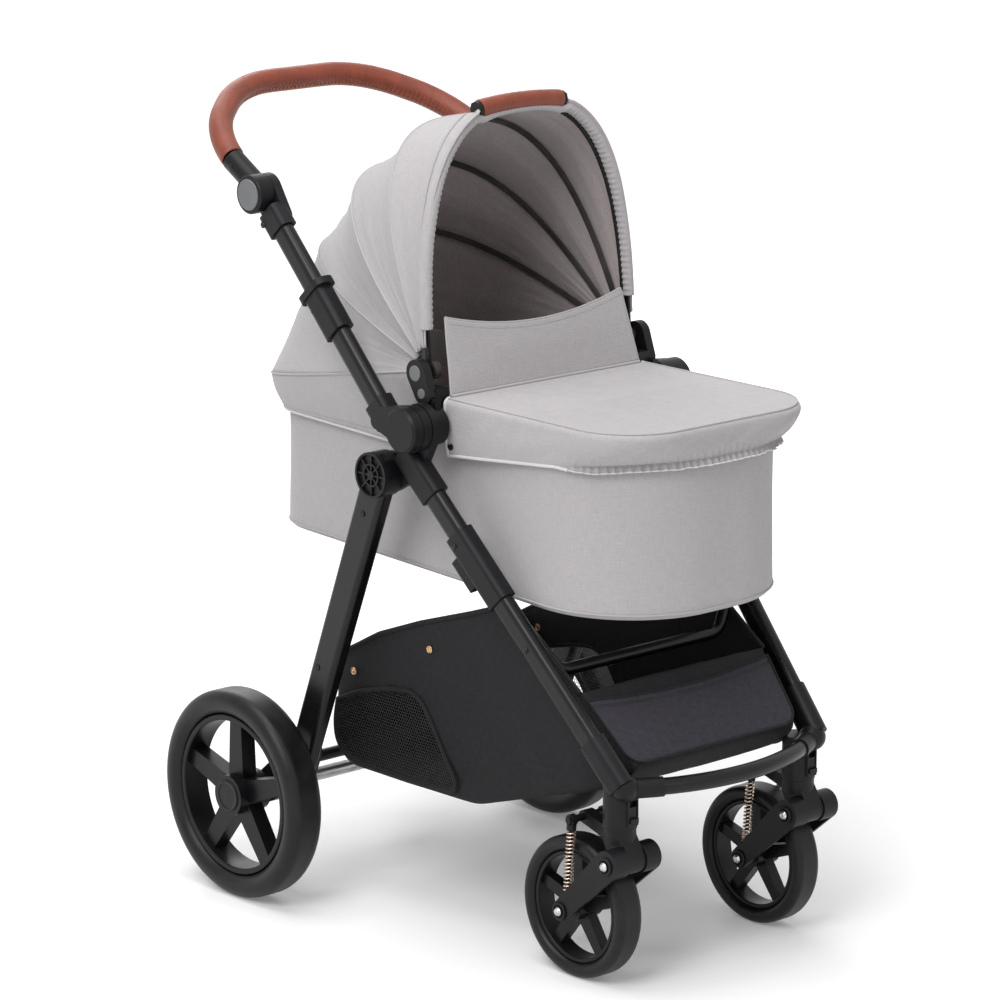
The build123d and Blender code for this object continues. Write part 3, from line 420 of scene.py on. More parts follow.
def filletRoute(corners, radius, arcSteps=14):
    route = [Vector(corners[0])]
    for before, corner, after in zip(corners, corners[1:], corners[2:]):
        before, corner, after = Vector(before), Vector(corner), Vector(after)
        inward, outward = (before - corner).normalized(), (after - corner).normalized()
        half = inward.angle(outward) / 2
        reach = radius / math.tan(half)
        centre = corner + (inward + outward).normalized() * (radius / math.sin(half))
        start, end = corner + inward * reach - centre, corner + outward * reach - centre
        sweepAngle = start.angle(end)
        for k in range(arcSteps + 1):
            t = k / arcSteps
            spoke = start * math.sin((1 - t) * sweepAngle) + end * math.sin(t * sweepAngle)
            route.append(centre + spoke / math.sin(sweepAngle))
    route.append(Vector(corners[-1]))
    return route


def newTree(name, inputs):
    tree = bpy.data.node_groups.new(name, "GeometryNodeTree")
    tree.interface.new_socket("Geometry", in_out="INPUT", socket_type="NodeSocketGeometry")
    sockets = {}
    for label, kind in inputs:
        sockets[label] = tree.interface.new_socket(label, in_out="INPUT", socket_type=kind).identifier
    tree.interface.new_socket("Geometry", in_out="OUTPUT", socket_type="NodeSocketGeometry")
    entry, leave = tree.nodes.new("NodeGroupInput"), tree.nodes.new("NodeGroupOutput")
    return tree, sockets, entry, leave


def closeTree(tree, entry, leave, geometry):
    solid = addNode(tree, "GeometryNodeRealizeInstances", {"Geometry": geometry})
    smooth = addNode(tree, "GeometryNodeSetShadeSmooth", {"Geometry": solid.outputs[0]})
    painted = addNode(tree, "GeometryNodeSetMaterial", {
        "Geometry": smooth.outputs[0], "Material": entry.outputs["Material"]})
    tree.links.new(painted.outputs[0], leave.inputs[0])


def makePipingTree():
    tree, sockets, entry, leave = newTree("pipingAlongSeam", [
        ("Radius", "NodeSocketFloat"), ("Material", "NodeSocketMaterial")])
    line = addNode(tree, "GeometryNodeMeshToCurve", {"Mesh": entry.outputs["Geometry"]})
    ring = addNode(tree, "GeometryNodeCurvePrimitiveCircle", {"Resolution": 8, "Radius": entry.outputs["Radius"]})
    tube = addNode(tree, "GeometryNodeCurveToMesh", {
        "Curve": line.outputs[0], "Profile Curve": ring.outputs[0], "Fill Caps": True})
    closeTree(tree, entry, leave, tube.outputs[0])
    return tree, sockets


def makeStitchTree():
    tree, sockets, entry, leave = newTree("stitchesAlongSeam", [
        ("Spacing", "NodeSocketFloat"), ("Stitch Length", "NodeSocketFloat"), ("Thread Radius", "NodeSocketFloat"),
        ("Material", "NodeSocketMaterial")])
    line = addNode(tree, "GeometryNodeMeshToCurve", {"Mesh": entry.outputs["Geometry"]})
    spacing = {"Curve": line.outputs[0], "Length": entry.outputs["Spacing"]}
    spaced = addNode(tree, "GeometryNodeResampleCurve", spacing, mode="LENGTH")
    thread = addNode(tree, "GeometryNodeMeshUVSphere", {"Segments": 6, "Rings": 4, "Radius": 1.0})
    tangent = addNode(tree, "GeometryNodeInputTangent")
    turned = addNode(tree, "FunctionNodeAlignRotationToVector", {"Vector": tangent.outputs[0]}, axis="Z")
    half = addNode(tree, "ShaderNodeMath", {0: entry.outputs["Stitch Length"], 1: 0.5}, operation="MULTIPLY")
    thick = entry.outputs["Thread Radius"]
    size = addNode(tree, "ShaderNodeCombineXYZ", {"X": thick, "Y": thick, "Z": half.outputs[0]})
    placed = addNode(tree, "GeometryNodeInstanceOnPoints", {
        "Points": spaced.outputs[0], "Instance": thread.outputs[0], "Rotation": turned.outputs[0],
        "Scale": size.outputs[0]})
    closeTree(tree, entry, leave, placed.outputs[0])
    return tree, sockets


def makeScatterTree():
    tree, sockets, entry, leave = newTree("partsOnPoints", [
        ("Template", "NodeSocketObject"), ("Scale", "NodeSocketFloat"), ("Seed", "NodeSocketInt"),
        ("Material", "NodeSocketMaterial")])
    facing = addNode(tree, "GeometryNodeInputNamedAttribute", {"Name": "faceDir"}, data_type="FLOAT_VECTOR")
    turned = addNode(tree, "FunctionNodeAlignRotationToVector", {"Vector": facing.outputs[0]}, axis="Z")
    spin = addNode(tree, "FunctionNodeRandomValue", {"Seed": entry.outputs["Seed"]}, data_type="FLOAT")
    spin.inputs[3].default_value = 6.28  # up to a full turn
    axial = addNode(tree, "ShaderNodeCombineXYZ", {"Z": spin.outputs[1]})
    roll = {"Rotation": turned.outputs[0], "Rotate By": axial.outputs[0]}
    rolled = addNode(tree, "FunctionNodeRotateRotation", roll, rotation_space="LOCAL")
    template = addNode(tree, "GeometryNodeObjectInfo", {"Object": entry.outputs["Template"]})
    placed = addNode(tree, "GeometryNodeInstanceOnPoints", {
        "Points": entry.outputs["Geometry"], "Instance": template.outputs["Geometry"], "Rotation": rolled.outputs[0],
        "Scale": entry.outputs["Scale"]})
    closeTree(tree, entry, leave, placed.outputs[0])
    return tree, sockets


def makeNetTree():
    tree, sockets, entry, leave = newTree("netOnPanel", [
        ("Thread Radius", "NodeSocketFloat"), ("Material", "NodeSocketMaterial")])
    cells = addNode(tree, "GeometryNodeDualMesh", {"Mesh": entry.outputs["Geometry"], "Keep Boundaries": True})
    lines = addNode(tree, "GeometryNodeMeshToCurve", {"Mesh": cells.outputs[0]})
    ring = addNode(tree, "GeometryNodeCurvePrimitiveCircle", {
        "Resolution": 3, "Radius": entry.outputs["Thread Radius"]})
    tube = addNode(tree, "GeometryNodeCurveToMesh", {
        "Curve": lines.outputs[0], "Profile Curve": ring.outputs[0], "Fill Caps": False})
    closeTree(tree, entry, leave, tube.outputs[0])
    return tree, sockets


pipingTree, pipingSockets = makePipingTree()
stitchTree, stitchSockets = makeStitchTree()
scatterTree, scatterSockets = makeScatterTree()
netTree, netSockets = makeNetTree()


def lineMesh(name, runs, closed=False):
    points, edges = [], []
    for run in runs:
        first = len(points)
        points += [tuple(p) for p in run]
        edges += [(first + k, first + k + 1) for k in range(len(run) - 1)]
        if closed:
            edges.append((first + len(run) - 1, first))
    mesh = bpy.data.meshes.new(name)
    mesh.from_pydata(points, edges, [])
    return linkObject(name, mesh)


def runTree(piece, tree, sockets, values):
    modifier = piece.modifiers.new(tree.name, "NODES")
    modifier.node_group = tree
    for label, value in values.items():
        modifier[sockets[label]] = value
    return applyModifiers(piece)


def tubeAlong(name, runs, radius, materialName, closed=False):
    return runTree(lineMesh(name, runs, closed), pipingTree, pipingSockets, {
        "Radius": radius, "Material": finish[materialName]})


def piping(name, runs, radius, materialName, body, closed=False):
    return place(tubeAlong(name, runs, radius, materialName, closed), body)


def stitches(name, runs, thread, materialName, body):
    spacing, length, radius = thread
    piece = runTree(lineMesh(name, runs), stitchTree, stitchSockets, {
        "Spacing": spacing, "Stitch Length": length, "Thread Radius": radius, "Material": finish[materialName]})
    return place(piece, body)


def scatter(name, spots, template, scale, materialName, body, seed=1):
    mesh = bpy.data.meshes.new(name)
    mesh.from_pydata([tuple(p) for p, way in spots], [], [])
    facing = mesh.attributes.new("faceDir", "FLOAT_VECTOR", "POINT")
    facing.data.foreach_set("vector", [c for p, way in spots for c in way])
    piece = runTree(linkObject(name, mesh), scatterTree, scatterSockets, {
        "Template": template, "Scale": scale, "Seed": seed, "Material": finish[materialName]})
    return place(piece, body)


def turnedTemplate(name, profile, sides):
    angles = [2 * math.pi * j / sides for j in range(sides)]
    rows = [[Vector((r * math.cos(a), r * math.sin(a), z)) for a in angles] for r, z in profile]
    return faceOut(gridPiece(name, rows, [], closeU=True, capStart=True, capEnd=True))


stageSettings = {
    "azimuth": -41.84, "elevation": 13.49, "distance": 5.7975, "target": (0.1768, axleY, 0.4553),
    "focalPixels": 4300.0, "photoPixels": 1000.0, "sensor": 36.0, "lampAim": (0, 0, 0.5), "worldLight": 0.36,
    "lamps": [("keySoftbox", (-3.5, -1.4, 4.0), 2.6, 112.0), ("fillSoftbox", (-0.4, -4.2, 3.0), 3.0, 16.0),
              ("topSoftbox", (-0.6, 0.2, 4.2), 3.0, 86.0), ("backSoftbox", (1.8, 3.4, 2.6), 2.4, 40.0)],
    "floorRadius": 30, "floorSides": 64,
    "floorGlow": {"From Min": 0.35, "From Max": 2.6, "To Min": 0.16, "To Max": 0.7},
}


def seenRays(tree):
    rays = addNode(tree, "ShaderNodeLightPath")
    mirrored = mathNode(tree, "MAXIMUM", rays.outputs["Is Glossy Ray"], rays.outputs["Is Transmission Ray"])
    return mathNode(tree, "MAXIMUM", rays.outputs["Is Camera Ray"], mirrored)


def buildStage(settings):
    az, el = math.radians(settings["azimuth"]), math.radians(settings["elevation"])
    back = Vector((math.sin(az) * math.cos(el), -math.cos(az) * math.cos(el), math.sin(el)))
    camera = bpy.data.objects.new("photoCamera", bpy.data.cameras.new("photoCamera"))
    bpy.context.scene.collection.objects.link(camera)
    camera.data.sensor_width = settings["sensor"]
    camera.data.lens = settings["focalPixels"] / settings["photoPixels"] * settings["sensor"]
    camera.data.clip_end = 200.0
    camera.location = Vector(settings["target"]) + back * settings["distance"]
    camera.rotation_euler = back.to_track_quat("Z", "Y").to_euler()
    bpy.context.scene.camera = camera
    for name, spot, size, power in settings["lamps"]:
        lamp = bpy.data.objects.new(name, bpy.data.lights.new(name, "AREA"))
        lamp.data.shape, lamp.data.size, lamp.data.energy = "DISK", size, power
        lamp.location = spot
        lamp.rotation_euler = (Vector(spot) - Vector(settings["lampAim"])).to_track_quat("Z", "Y").to_euler()
        bpy.context.scene.collection.objects.link(lamp)
    world = bpy.data.worlds.new("paleStudio")
    bpy.context.scene.world = world
    world.use_nodes = True
    tree = world.node_tree
    tree.nodes.clear()
    shown = seenRays(tree)
    soft = addNode(tree, "ShaderNodeBackground", {"Color": (1.0, 1.0, 1.0, 1.0), "Strength": settings["worldLight"]})
    white = addNode(tree, "ShaderNodeBackground", {"Color": (1.0, 1.0, 1.0, 1.0), "Strength": 1.0})
    mixed = addNode(tree, "ShaderNodeMixShader", {0: shown, 1: soft.outputs[0], 2: white.outputs[0]})
    addNode(tree, "ShaderNodeOutputWorld", {"Surface": mixed.outputs[0]})
    mat, tree, shader, where = newMaterial("paleFloor")
    speck = noiseNode(tree, where, 3.0, 4.0)
    away = addNode(tree, "ShaderNodeVectorMath", {0: where}, operation="LENGTH").outputs["Value"]
    glow = addNode(tree, "ShaderNodeMapRange", {"Value": away, **settings["floorGlow"]})
    feed(tree, shader, {
        "Base Color": rampNode(tree, speck, (0.90, 0.90, 0.90), (0.93, 0.93, 0.93)), "Roughness": 0.9,
        "Specular IOR Level": 0.1, "Emission Color": (1.0, 1.0, 1.0, 1.0),
        "Emission Strength": mathNode(tree, "MULTIPLY", glow.outputs[0], seenRays(tree))})
    sides, far = settings["floorSides"], settings["floorRadius"]
    turns = [2 * math.pi * k / sides for k in range(sides)]
    ring = [Vector((far * math.cos(a), far * math.sin(a), 0)) for a in turns]
    mesh = bpy.data.meshes.new("studioFloor")
    mesh.from_pydata([tuple(p) for p in ring], [], [tuple(range(sides))])
    mesh.materials.append(mat)
    linkObject("studioFloor", mesh)
    bpy.context.scene.view_settings.view_transform = "Standard"


buildStage(stageSettings)
print("stage built")

hoodSettings = {
    "axis": (256.0, 721.0), "base": 30.0, "gap": 5.2, "cloth": 0.0024, "sag": 0.032, "sideSag": 4.0, "tuck": 3.8,
    "gripCover": (0.064, 0.080), "gripZ": 0.95, "blendRadius": 0.2, "blendReach": 0.08,
    "stations": [(88.4, 170.0, 318.5, 2.7), (64.0, 166.0, 312.0, 2.7), (42.0, 163.0, 320.0, 2.7),
                 (20.0, 160.0, 340.0, 2.7), (-10.0, 165.0, 404.0, 3.6)],
    "bowAngles": [86.0, 64.0, 42.0, 20.0, -10.0],
    "bodies": ["hood_front", "hood_inner", "hood_middle", "hood_rear", "carrycot"],
    "bows": ["front_bow", "hood_bow_inner", "hood_bow_middle", "hood_bow_rear"],
    "archSteps": 130, "goreSteps": 26, "crease": 0.0017,
    "cuts": [(0.123, 0.790, 0.0618), (0.123, 0.782, 0.0613), (0.130, 0.814, 0.0651), (0.205, 0.972, 0.1118)],
}


hoodCentre = at(0, *hoodSettings["axis"])
hoodGrow = hoodSettings["gap"] + hoodSettings["cloth"] * 1000  # from a bow's middle line to the outside of the cloth


def hoodPoint(angle, width, height, power, arch, base=None):
    base = hoodSettings["base"] if base is None else base
    a, f = math.radians(angle), math.radians(arch)
    flat = abs(math.cos(f)) ** (2 / power) * (1 if math.cos(f) >= 0 else -1)
    tall = abs(math.sin(f)) ** (2 / power)
    r = base + (height - base) * tall
    d, z = hoodSettings["axis"]
    return at(width * flat, d - r * math.cos(a), z + r * math.sin(a))


def hoodArch(angle, width, height, power, count, first=0.0, base=None):
    fine = [hoodPoint(angle, width, height, power, first + (180.0 - 2 * first) * k / 360, base) for k in range(361)]
    return resampled(fine, count)


def hoodStation(k, s):
    (a0, w0, h0, p0), (a1, w1, h1, p1) = hoodSettings["stations"][k], hoodSettings["stations"][k + 1]
    half = math.radians(abs(a0 - a1) / 2)
    chord = math.cos(half) / math.cos(half * (1 - 2 * s))  # taut cloth runs straight from bow to bow
    between = 4 * s * (1 - s)
    dip = chord * (1 - hoodSettings["sag"] * between)
    base = hoodSettings["base"]
    height = base + (mix(h0, h1, s) + hoodGrow - base) * dip
    width = mix(w0, w1, s) + hoodGrow - hoodSettings["sideSag"] * between
    return mix(a0, a1, s), width, height, mix(p0, p1, s)


def turnOnHoodAxis(p, degrees):
    return hoodCentre + Matrix.Rotation(math.radians(degrees), 3, "X") @ (p - hoodCentre)


def buildGores():
    h = hoodSettings
    steps, count = h["goreSteps"], h["archSteps"]
    for k in range(4):
        rows = []
        for i in range(steps + 1):
            s = i / steps
            row = hoodArch(*hoodStation(k, s), count)
            inside = 4 * s * (1 - s)
            for j, p in enumerate(row):
                out = (p - hoodCentre).normalized()
                around = j / (count - 1)
                wave = bumps(s * 5.0 + k * 7.3, around * 3.5, 0.4) + 0.6 * bumps(s * 11.0, around * 7.0, k * 2.9)
                moved = p + out * wave * h["crease"] * inside
                if k == 0:  # the front edge runs back under the leather grip
                    under = 1 - smoothStep(*h["gripCover"], abs(p.x)) if p.z > h["gripZ"] else 0.0
                    moved = turnOnHoodAxis(moved, -h["tuck"] * under * (1 - s) ** 3)
                row[j] = moved
            rows.append(row)
        piece = faceOut(gridPiece(f"hoodGore{k + 1}", rows, ["heatherCloth", "liningCloth"]))
        turnOutward(piece, lambda poly: poly.normal.dot(poly.center - hoodCentre))
        thicken(piece, h["cloth"], lining=True)
        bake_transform(piece)
        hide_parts(f"hood_gore_{k + 1}")


buildGores()

hemSettings = {"angle": 86.6, "width": 171.5, "height": 319.0, "power": 2.7, "radius": 8.4, "slim": 5.5, "sink": 8.5,
               "step": 0.0013, "around": 22, "rib": 0.7, "ribStep": 7.5, "gripCover": (0.064, 0.082), "gripZ": 0.95,
               "gripHalf": 0.08, "seam": 0.0011, "stitch": (0.0052, 0.0036, 0.00045), "zipTape": 0.0030,
               "zipRib": (0.0058, 0.0030, 0.0036), "welt": 0.0014}


def buildHoodTrim():
    s = hemSettings
    fine = hoodArch(s["angle"], s["width"], s["height"], s["power"], 900, first=1.8)
    route = resampled(fine, int(runLengths(fine)[-1] / s["step"]))
    turn = math.radians(s["angle"])
    hint = Vector((0, -math.sin(turn), math.cos(turn)))  # forward, across the plane of the bow
    rows = []
    for k, (p, ahead, side, up) in enumerate(pathFrames(route, hint)):
        outside = 1.0 if side.dot(p - hoodCentre) > 0 else -1.0
        clear = smoothStep(*s["gripCover"], abs(p.x)) if p.z > s["gripZ"] else 1.0
        slim = s["slim"] + (s["radius"] - s["slim"]) * clear
        p = p - (p - hoodCentre).normalized() * (s["sink"] * (1 - clear) / 1000)  # runs below the leather grip
        row = []
        for j in range(s["around"]):
            a = 2 * math.pi * j / s["around"]
            inner = max(0.0, -math.cos(a) * outside)
            phase = 2 * math.pi * k * s["step"] * 1000 / s["ribStep"] + 1.1 * math.sin(a)
            rib = s["rib"] * inner * math.sin(phase) * clear
            loose = 0.5 * bumps(k * 0.02, math.cos(a), math.sin(a))
            row.append(p + turnedWay(side, up, a) * ((slim + rib + loose) / 1000))
        rows.append(row)
    piece = faceOut(gridPiece("hoodFrontHem", rows, ["heatherCloth"], closeU=True, capStart=True, capEnd=True))
    place(piece, "hood_front")
    a, w, h, p = hoodSettings["stations"][0]
    for name, back, inset in (("hoodFrontStitches", 4.6, 0.6), ("hoodFrontSeam", 4.0, 0.4)):
        seam = hoodArch(a - back, w + hoodGrow - inset, h + hoodGrow - inset - 1.0, p, 260)
        # the leather grip covers the middle
        halves = [[q for q in seam if way * q.x > s["gripHalf"]] for way in (-1, 1)]
        if name.endswith("Seam"):
            piping(name, halves, s["seam"], "heatherCloth", "hood_front")
        else:
            stitches(name, halves, s["stitch"], "greyThread", "hood_front")
    strip = hoodArch(84.9, s["width"] - 7.4, s["height"] - 7.8, s["power"], 190, first=3)
    piping("hoodZipTape", [strip], s["zipTape"], "trimRubber", "hood_front")
    stitches("hoodZipRibs", [strip], s["zipRib"], "trimRubber", "hood_front")
    for k, body in ((1, "hood_inner"), (2, "hood_middle"), (3, "hood_rear")):
        a, w, h, p = hoodSettings["stations"][k]
        ridge = hoodArch(a, w + hoodGrow - 0.5, h + hoodGrow - 0.5, p, 120)
        piping(f"hoodWelt{k}", [ridge], s["welt"], "heatherCloth", body)


buildHoodTrim()
print("hood built")

cotSettings = {
    "circles": [(26.0, 468.0, 140.0), (-26.0, 468.0, 140.0), (47.0, -47.0, 80.0), (-47.0, -47.0, 80.0)],
    "base": 453.0, "top": 688.0, "columns": 168, "round": 10.0, "welt": 0.0013,
    "middleY": 0.05, "dent": (0.0008, 0.0010, 0.0008),
}


def cotPlan(shrink, count, z):
    fine = []
    for k in range(720):
        a = math.radians(-90 + k * 0.5)
        nx, nd = math.cos(a), math.sin(a)
        x, d, r = max(cotSettings["circles"], key=lambda c: c[0] * nx + c[1] * nd + c[2])
        fine.append(at(x + (r - shrink) * nx, d + (r - shrink) * nd, z))
    return resampled(fine, count, closed=True)


def awayFromCot(p):
    return Vector((p.x, p.y - cotSettings["middleY"], 0)).normalized()


def buildTub():
    s = cotSettings
    rows = []
    count = s["columns"]
    even, deep, fine = s["dent"]
    profile = [(70, s["base"] + 1.0), (40, s["base"] + 0.6), (18, s["base"])]
    for k in range(6):
        a = math.radians(90 * k / 5)
        profile.append((s["round"] * (1 - math.sin(a)) + 0.3, s["base"] + s["round"] * (1 - math.cos(a))))
    for k in range(1, 15):
        t = k / 15
        tall = s["top"] - s["base"] - s["round"] - 3
        profile.append((0.3 + 1.1 * math.sin(math.pi * t), s["base"] + s["round"] + tall * t))
    rim = [(0.4, -3), (1.4, -0.8), (4.0, 0), (6.6, -0.8), (7.8, -3)]
    profile += [(shrink, s["top"] + drop) for shrink, drop in rim]
    for k in range(1, 8):
        profile.append((8.2, s["top"] - 3 - (s["top"] - s["base"] - 13) * k / 7))
    profile += [(12.0, s["base"] + 9.0), (40, s["base"] + 9.0), (70, s["base"] + 9.0)]
    for shrink, z in profile:
        row = cotPlan(shrink, count, z)
        if s["base"] + s["round"] <= z <= s["top"] - 3 and shrink < 4:
            for j, p in enumerate(row):
                pull = bumps(p.x * 7, p.y * 7, p.z * 11)
                fold = bumps(p.x * 22, p.y * 22, p.z * 4)
                inner = awayFromCot(p)
                dent = even + deep * pull + fine * fold
                row[j] = p - inner * dent * smoothStep(0, 0.06, p.z - s["base"] / 1000)
        rows.append(row)
    cloths = ["heatherCloth", "liningCloth"]
    piece = faceOut(gridPiece("cotShell", rows, cloths, closeU=True, capStart=True, capEnd=True))
    innerFrom = len(profile) - 10
    for poly in piece.data.polygons:
        row = min(v // count for v in poly.vertices)
        if row >= innerFrom:
            poly.material_index = 1
    place(piece, "carrycot", "cot_tub")
    welt = cotPlan(0.2, 220, s["base"] + 7.5)
    piping("cotBaseWelt", [welt], s["welt"], "heatherCloth", "carrycot", closed=True)


buildTub()

skirtSettings = {"bottom": 612.0, "stand": 4.6, "frontEnd": 236.0, "columns": 150, "rows": 12, "cloth": 0.0024,
                 "swell": 0.004, "fold": 0.0012, "seamAt": 0.13, "seamLift": 0.0022, "piping": 0.0021, "welt": 0.0013,
                 "stitch": (0.0055, 0.0036, 0.0004), "cut": (0.106, 0.972, 0.0646)}


def buildSkirt():
    s = skirtSettings
    loop = cotPlan(-s["stand"], 900, s["bottom"])
    tailSide = [p for p in loop if p.y > axleY - s["frontEnd"] / 1000]
    # start at the front end of the left side and go round the tail
    tailSide.sort(key=lambda p: math.atan2(p.x, p.y - axleY + 0.1))
    lower = resampled(tailSide, s["columns"])
    angle, width, height, power = hoodSettings["stations"][4]
    upper = hoodArch(angle, width + hoodGrow, height + hoodGrow, power, s["columns"])
    if (upper[0] - lower[0]).length > (upper[-1] - lower[0]).length:
        upper.reverse()
    rows = []
    for i in range(s["rows"] + 1):
        t = i / s["rows"]
        row = []
        for a, b in zip(lower, upper):
            p = a.lerp(b, t)
            out = awayFromCot(p)
            fold = bumps(p.x * 11, p.y * 11, p.z * 6)
            row.append(p + out * (s["swell"] + s["fold"] * fold) * math.sin(math.pi * t))
        rows.append(row)
    piece = gridPiece("hoodSkirt", rows, ["heatherCloth", "liningCloth"])
    turnOutward(piece, lambda poly: poly.normal.dot(awayFromCot(poly.center)))
    thicken(piece, s["cloth"], lining=True)
    place(piece, "carrycot", "hood_band")
    piping("hoodSkirtPiping", [lower], s["piping"], "whiteCloth", "carrycot")
    piping("hoodSkirtWelt", [upper], s["welt"], "heatherCloth", "carrycot")
    row = [a.lerp(b, s["seamAt"]) + awayFromCot(a) * s["seamLift"] for a, b in zip(lower, upper)]
    stitches("hoodSkirtStitches", [row], s["stitch"], "greyThread", "carrycot")


buildSkirt()

mattressSettings = {"bottom": 463.4, "top": 500.0, "voxel": 0.0065, "pressure": 4.0, "cap": 0.006, "frames": 18,
                    "quilt": 0.062, "channel": 0.0026, "channelWidth": 0.13}


def swell(piece, voxel, pressure, cap, frames):
    scene = bpy.context.scene
    remesh = piece.modifiers.new("even mesh", "REMESH")
    remesh.mode, remesh.voxel_size = "VOXEL", voxel
    applyModifiers(piece)
    rest = [v.co.copy() for v in piece.data.vertices]
    cloth = piece.modifiers.new("filling", "CLOTH")
    cloth.settings.use_pressure = True
    cloth.settings.uniform_pressure_force = pressure
    cloth.settings.effector_weights.gravity = 0.0
    cloth.settings.mass = 0.3
    cloth.settings.tension_stiffness = 20.0
    cloth.point_cache.frame_start, cloth.point_cache.frame_end = 1, frames
    for k in range(1, frames + 1):
        scene.frame_set(k)
    applyModifiers(piece)
    for v, was in zip(piece.data.vertices, rest):
        move = v.co - was
        if move.length > cap:
            v.co = was + move * (cap / move.length)
    scene.frame_set(1)
    return piece


def buildMattress():
    s = mattressSettings
    rows = []
    low, high = s["bottom"] + 2, s["top"] - 4
    for shrink, z in ((78, low), (40, low), (18, low), (15, low + 1), (14, low + 5), (13, (low + high) / 2),
                      (14, high - 6), (16, high - 2), (20, high), (44, high), (78, high)):
        rows.append(cotPlan(shrink, 120, z))
    piece = faceOut(gridPiece("mattressPad", rows, ["whiteCloth"], closeU=True, capStart=True, capEnd=True))
    swell(piece, s["voxel"], s["pressure"], s["cap"], s["frames"])
    layer = piece.data.uv_layers.new(name="cloth")
    for loop in piece.data.loops:
        p = piece.data.vertices[loop.vertex_index].co
        layer.data[loop.index].uv = (p.x + p.z, p.y)
    for v in piece.data.vertices:  # quilted channels and a flat underside
        if v.co.z < s["bottom"] / 1000:
            v.co.z = s["bottom"] / 1000
        if v.co.z > s["top"] / 1000 - 0.006:
            u, w = (v.co.x + v.co.y) / s["quilt"], (v.co.x - v.co.y) / s["quilt"]
            edge = min(abs(u - round(u)), abs(w - round(w)))
            v.co.z -= s["channel"] * (1 - smoothStep(0.0, s["channelWidth"], edge))
        v.co.z = min(v.co.z, s["top"] / 1000 + 0.001)
    piece.data.shade_smooth()
    if not piece.data.materials:
        piece.data.materials.append(finish["whiteCloth"])
    place(piece, "carrycot", "mattress")


buildMattress()
print("carrycot built")

apronSettings = {
    "halfWidth": 172.0, "nose": 616.0, "rear": 287.5, "corner": 88.0, "top": 691.0, "hemRear": 619.0,
    "hemSlope": 35.0 / 373.0, "columns": 560, "skirtRows": 14, "topRows": 22, "crown": 4.5, "cloth": 0.0024,
    "gather": 2.7, "gatherWave": 11.0, "frill": 8.5, "hug": 4.0, "roll": 8, "pull": 2.8, "pucker": 3.7,
    "mergeGap": 0.00025, "piping": 0.0021, "rim": 0.0012, "frillEdge": 0.0010, "elastic": (0.0046, 0.0032, 0.0006),
    "cut": (0.488, 0.378, 0.1658),
}


def apronOutline(shrink, count):
    s = apronSettings
    half, nose, r = s["halfWidth"] - shrink, s["nose"] - shrink, s["corner"] - shrink
    fine = [(half, s["rear"] + (nose - r - s["rear"]) * k / 60) for k in range(61)]
    corner = [math.radians(a) for a in range(3, 88, 3)]
    fine += [(half - r + r * math.cos(a), nose - r + r * math.sin(a)) for a in corner]
    fine += [((half - r) * (1 - 2 * k / 40), nose) for k in range(41)]
    fine += [(-half + r - r * math.sin(a), nose - r + r * math.cos(a)) for a in corner]
    fine += [(-half, nose - r + (s["rear"] - nose + r) * k / 60) for k in range(61)]
    return resampled([Vector((x, d, 0)) for x, d in fine], count)


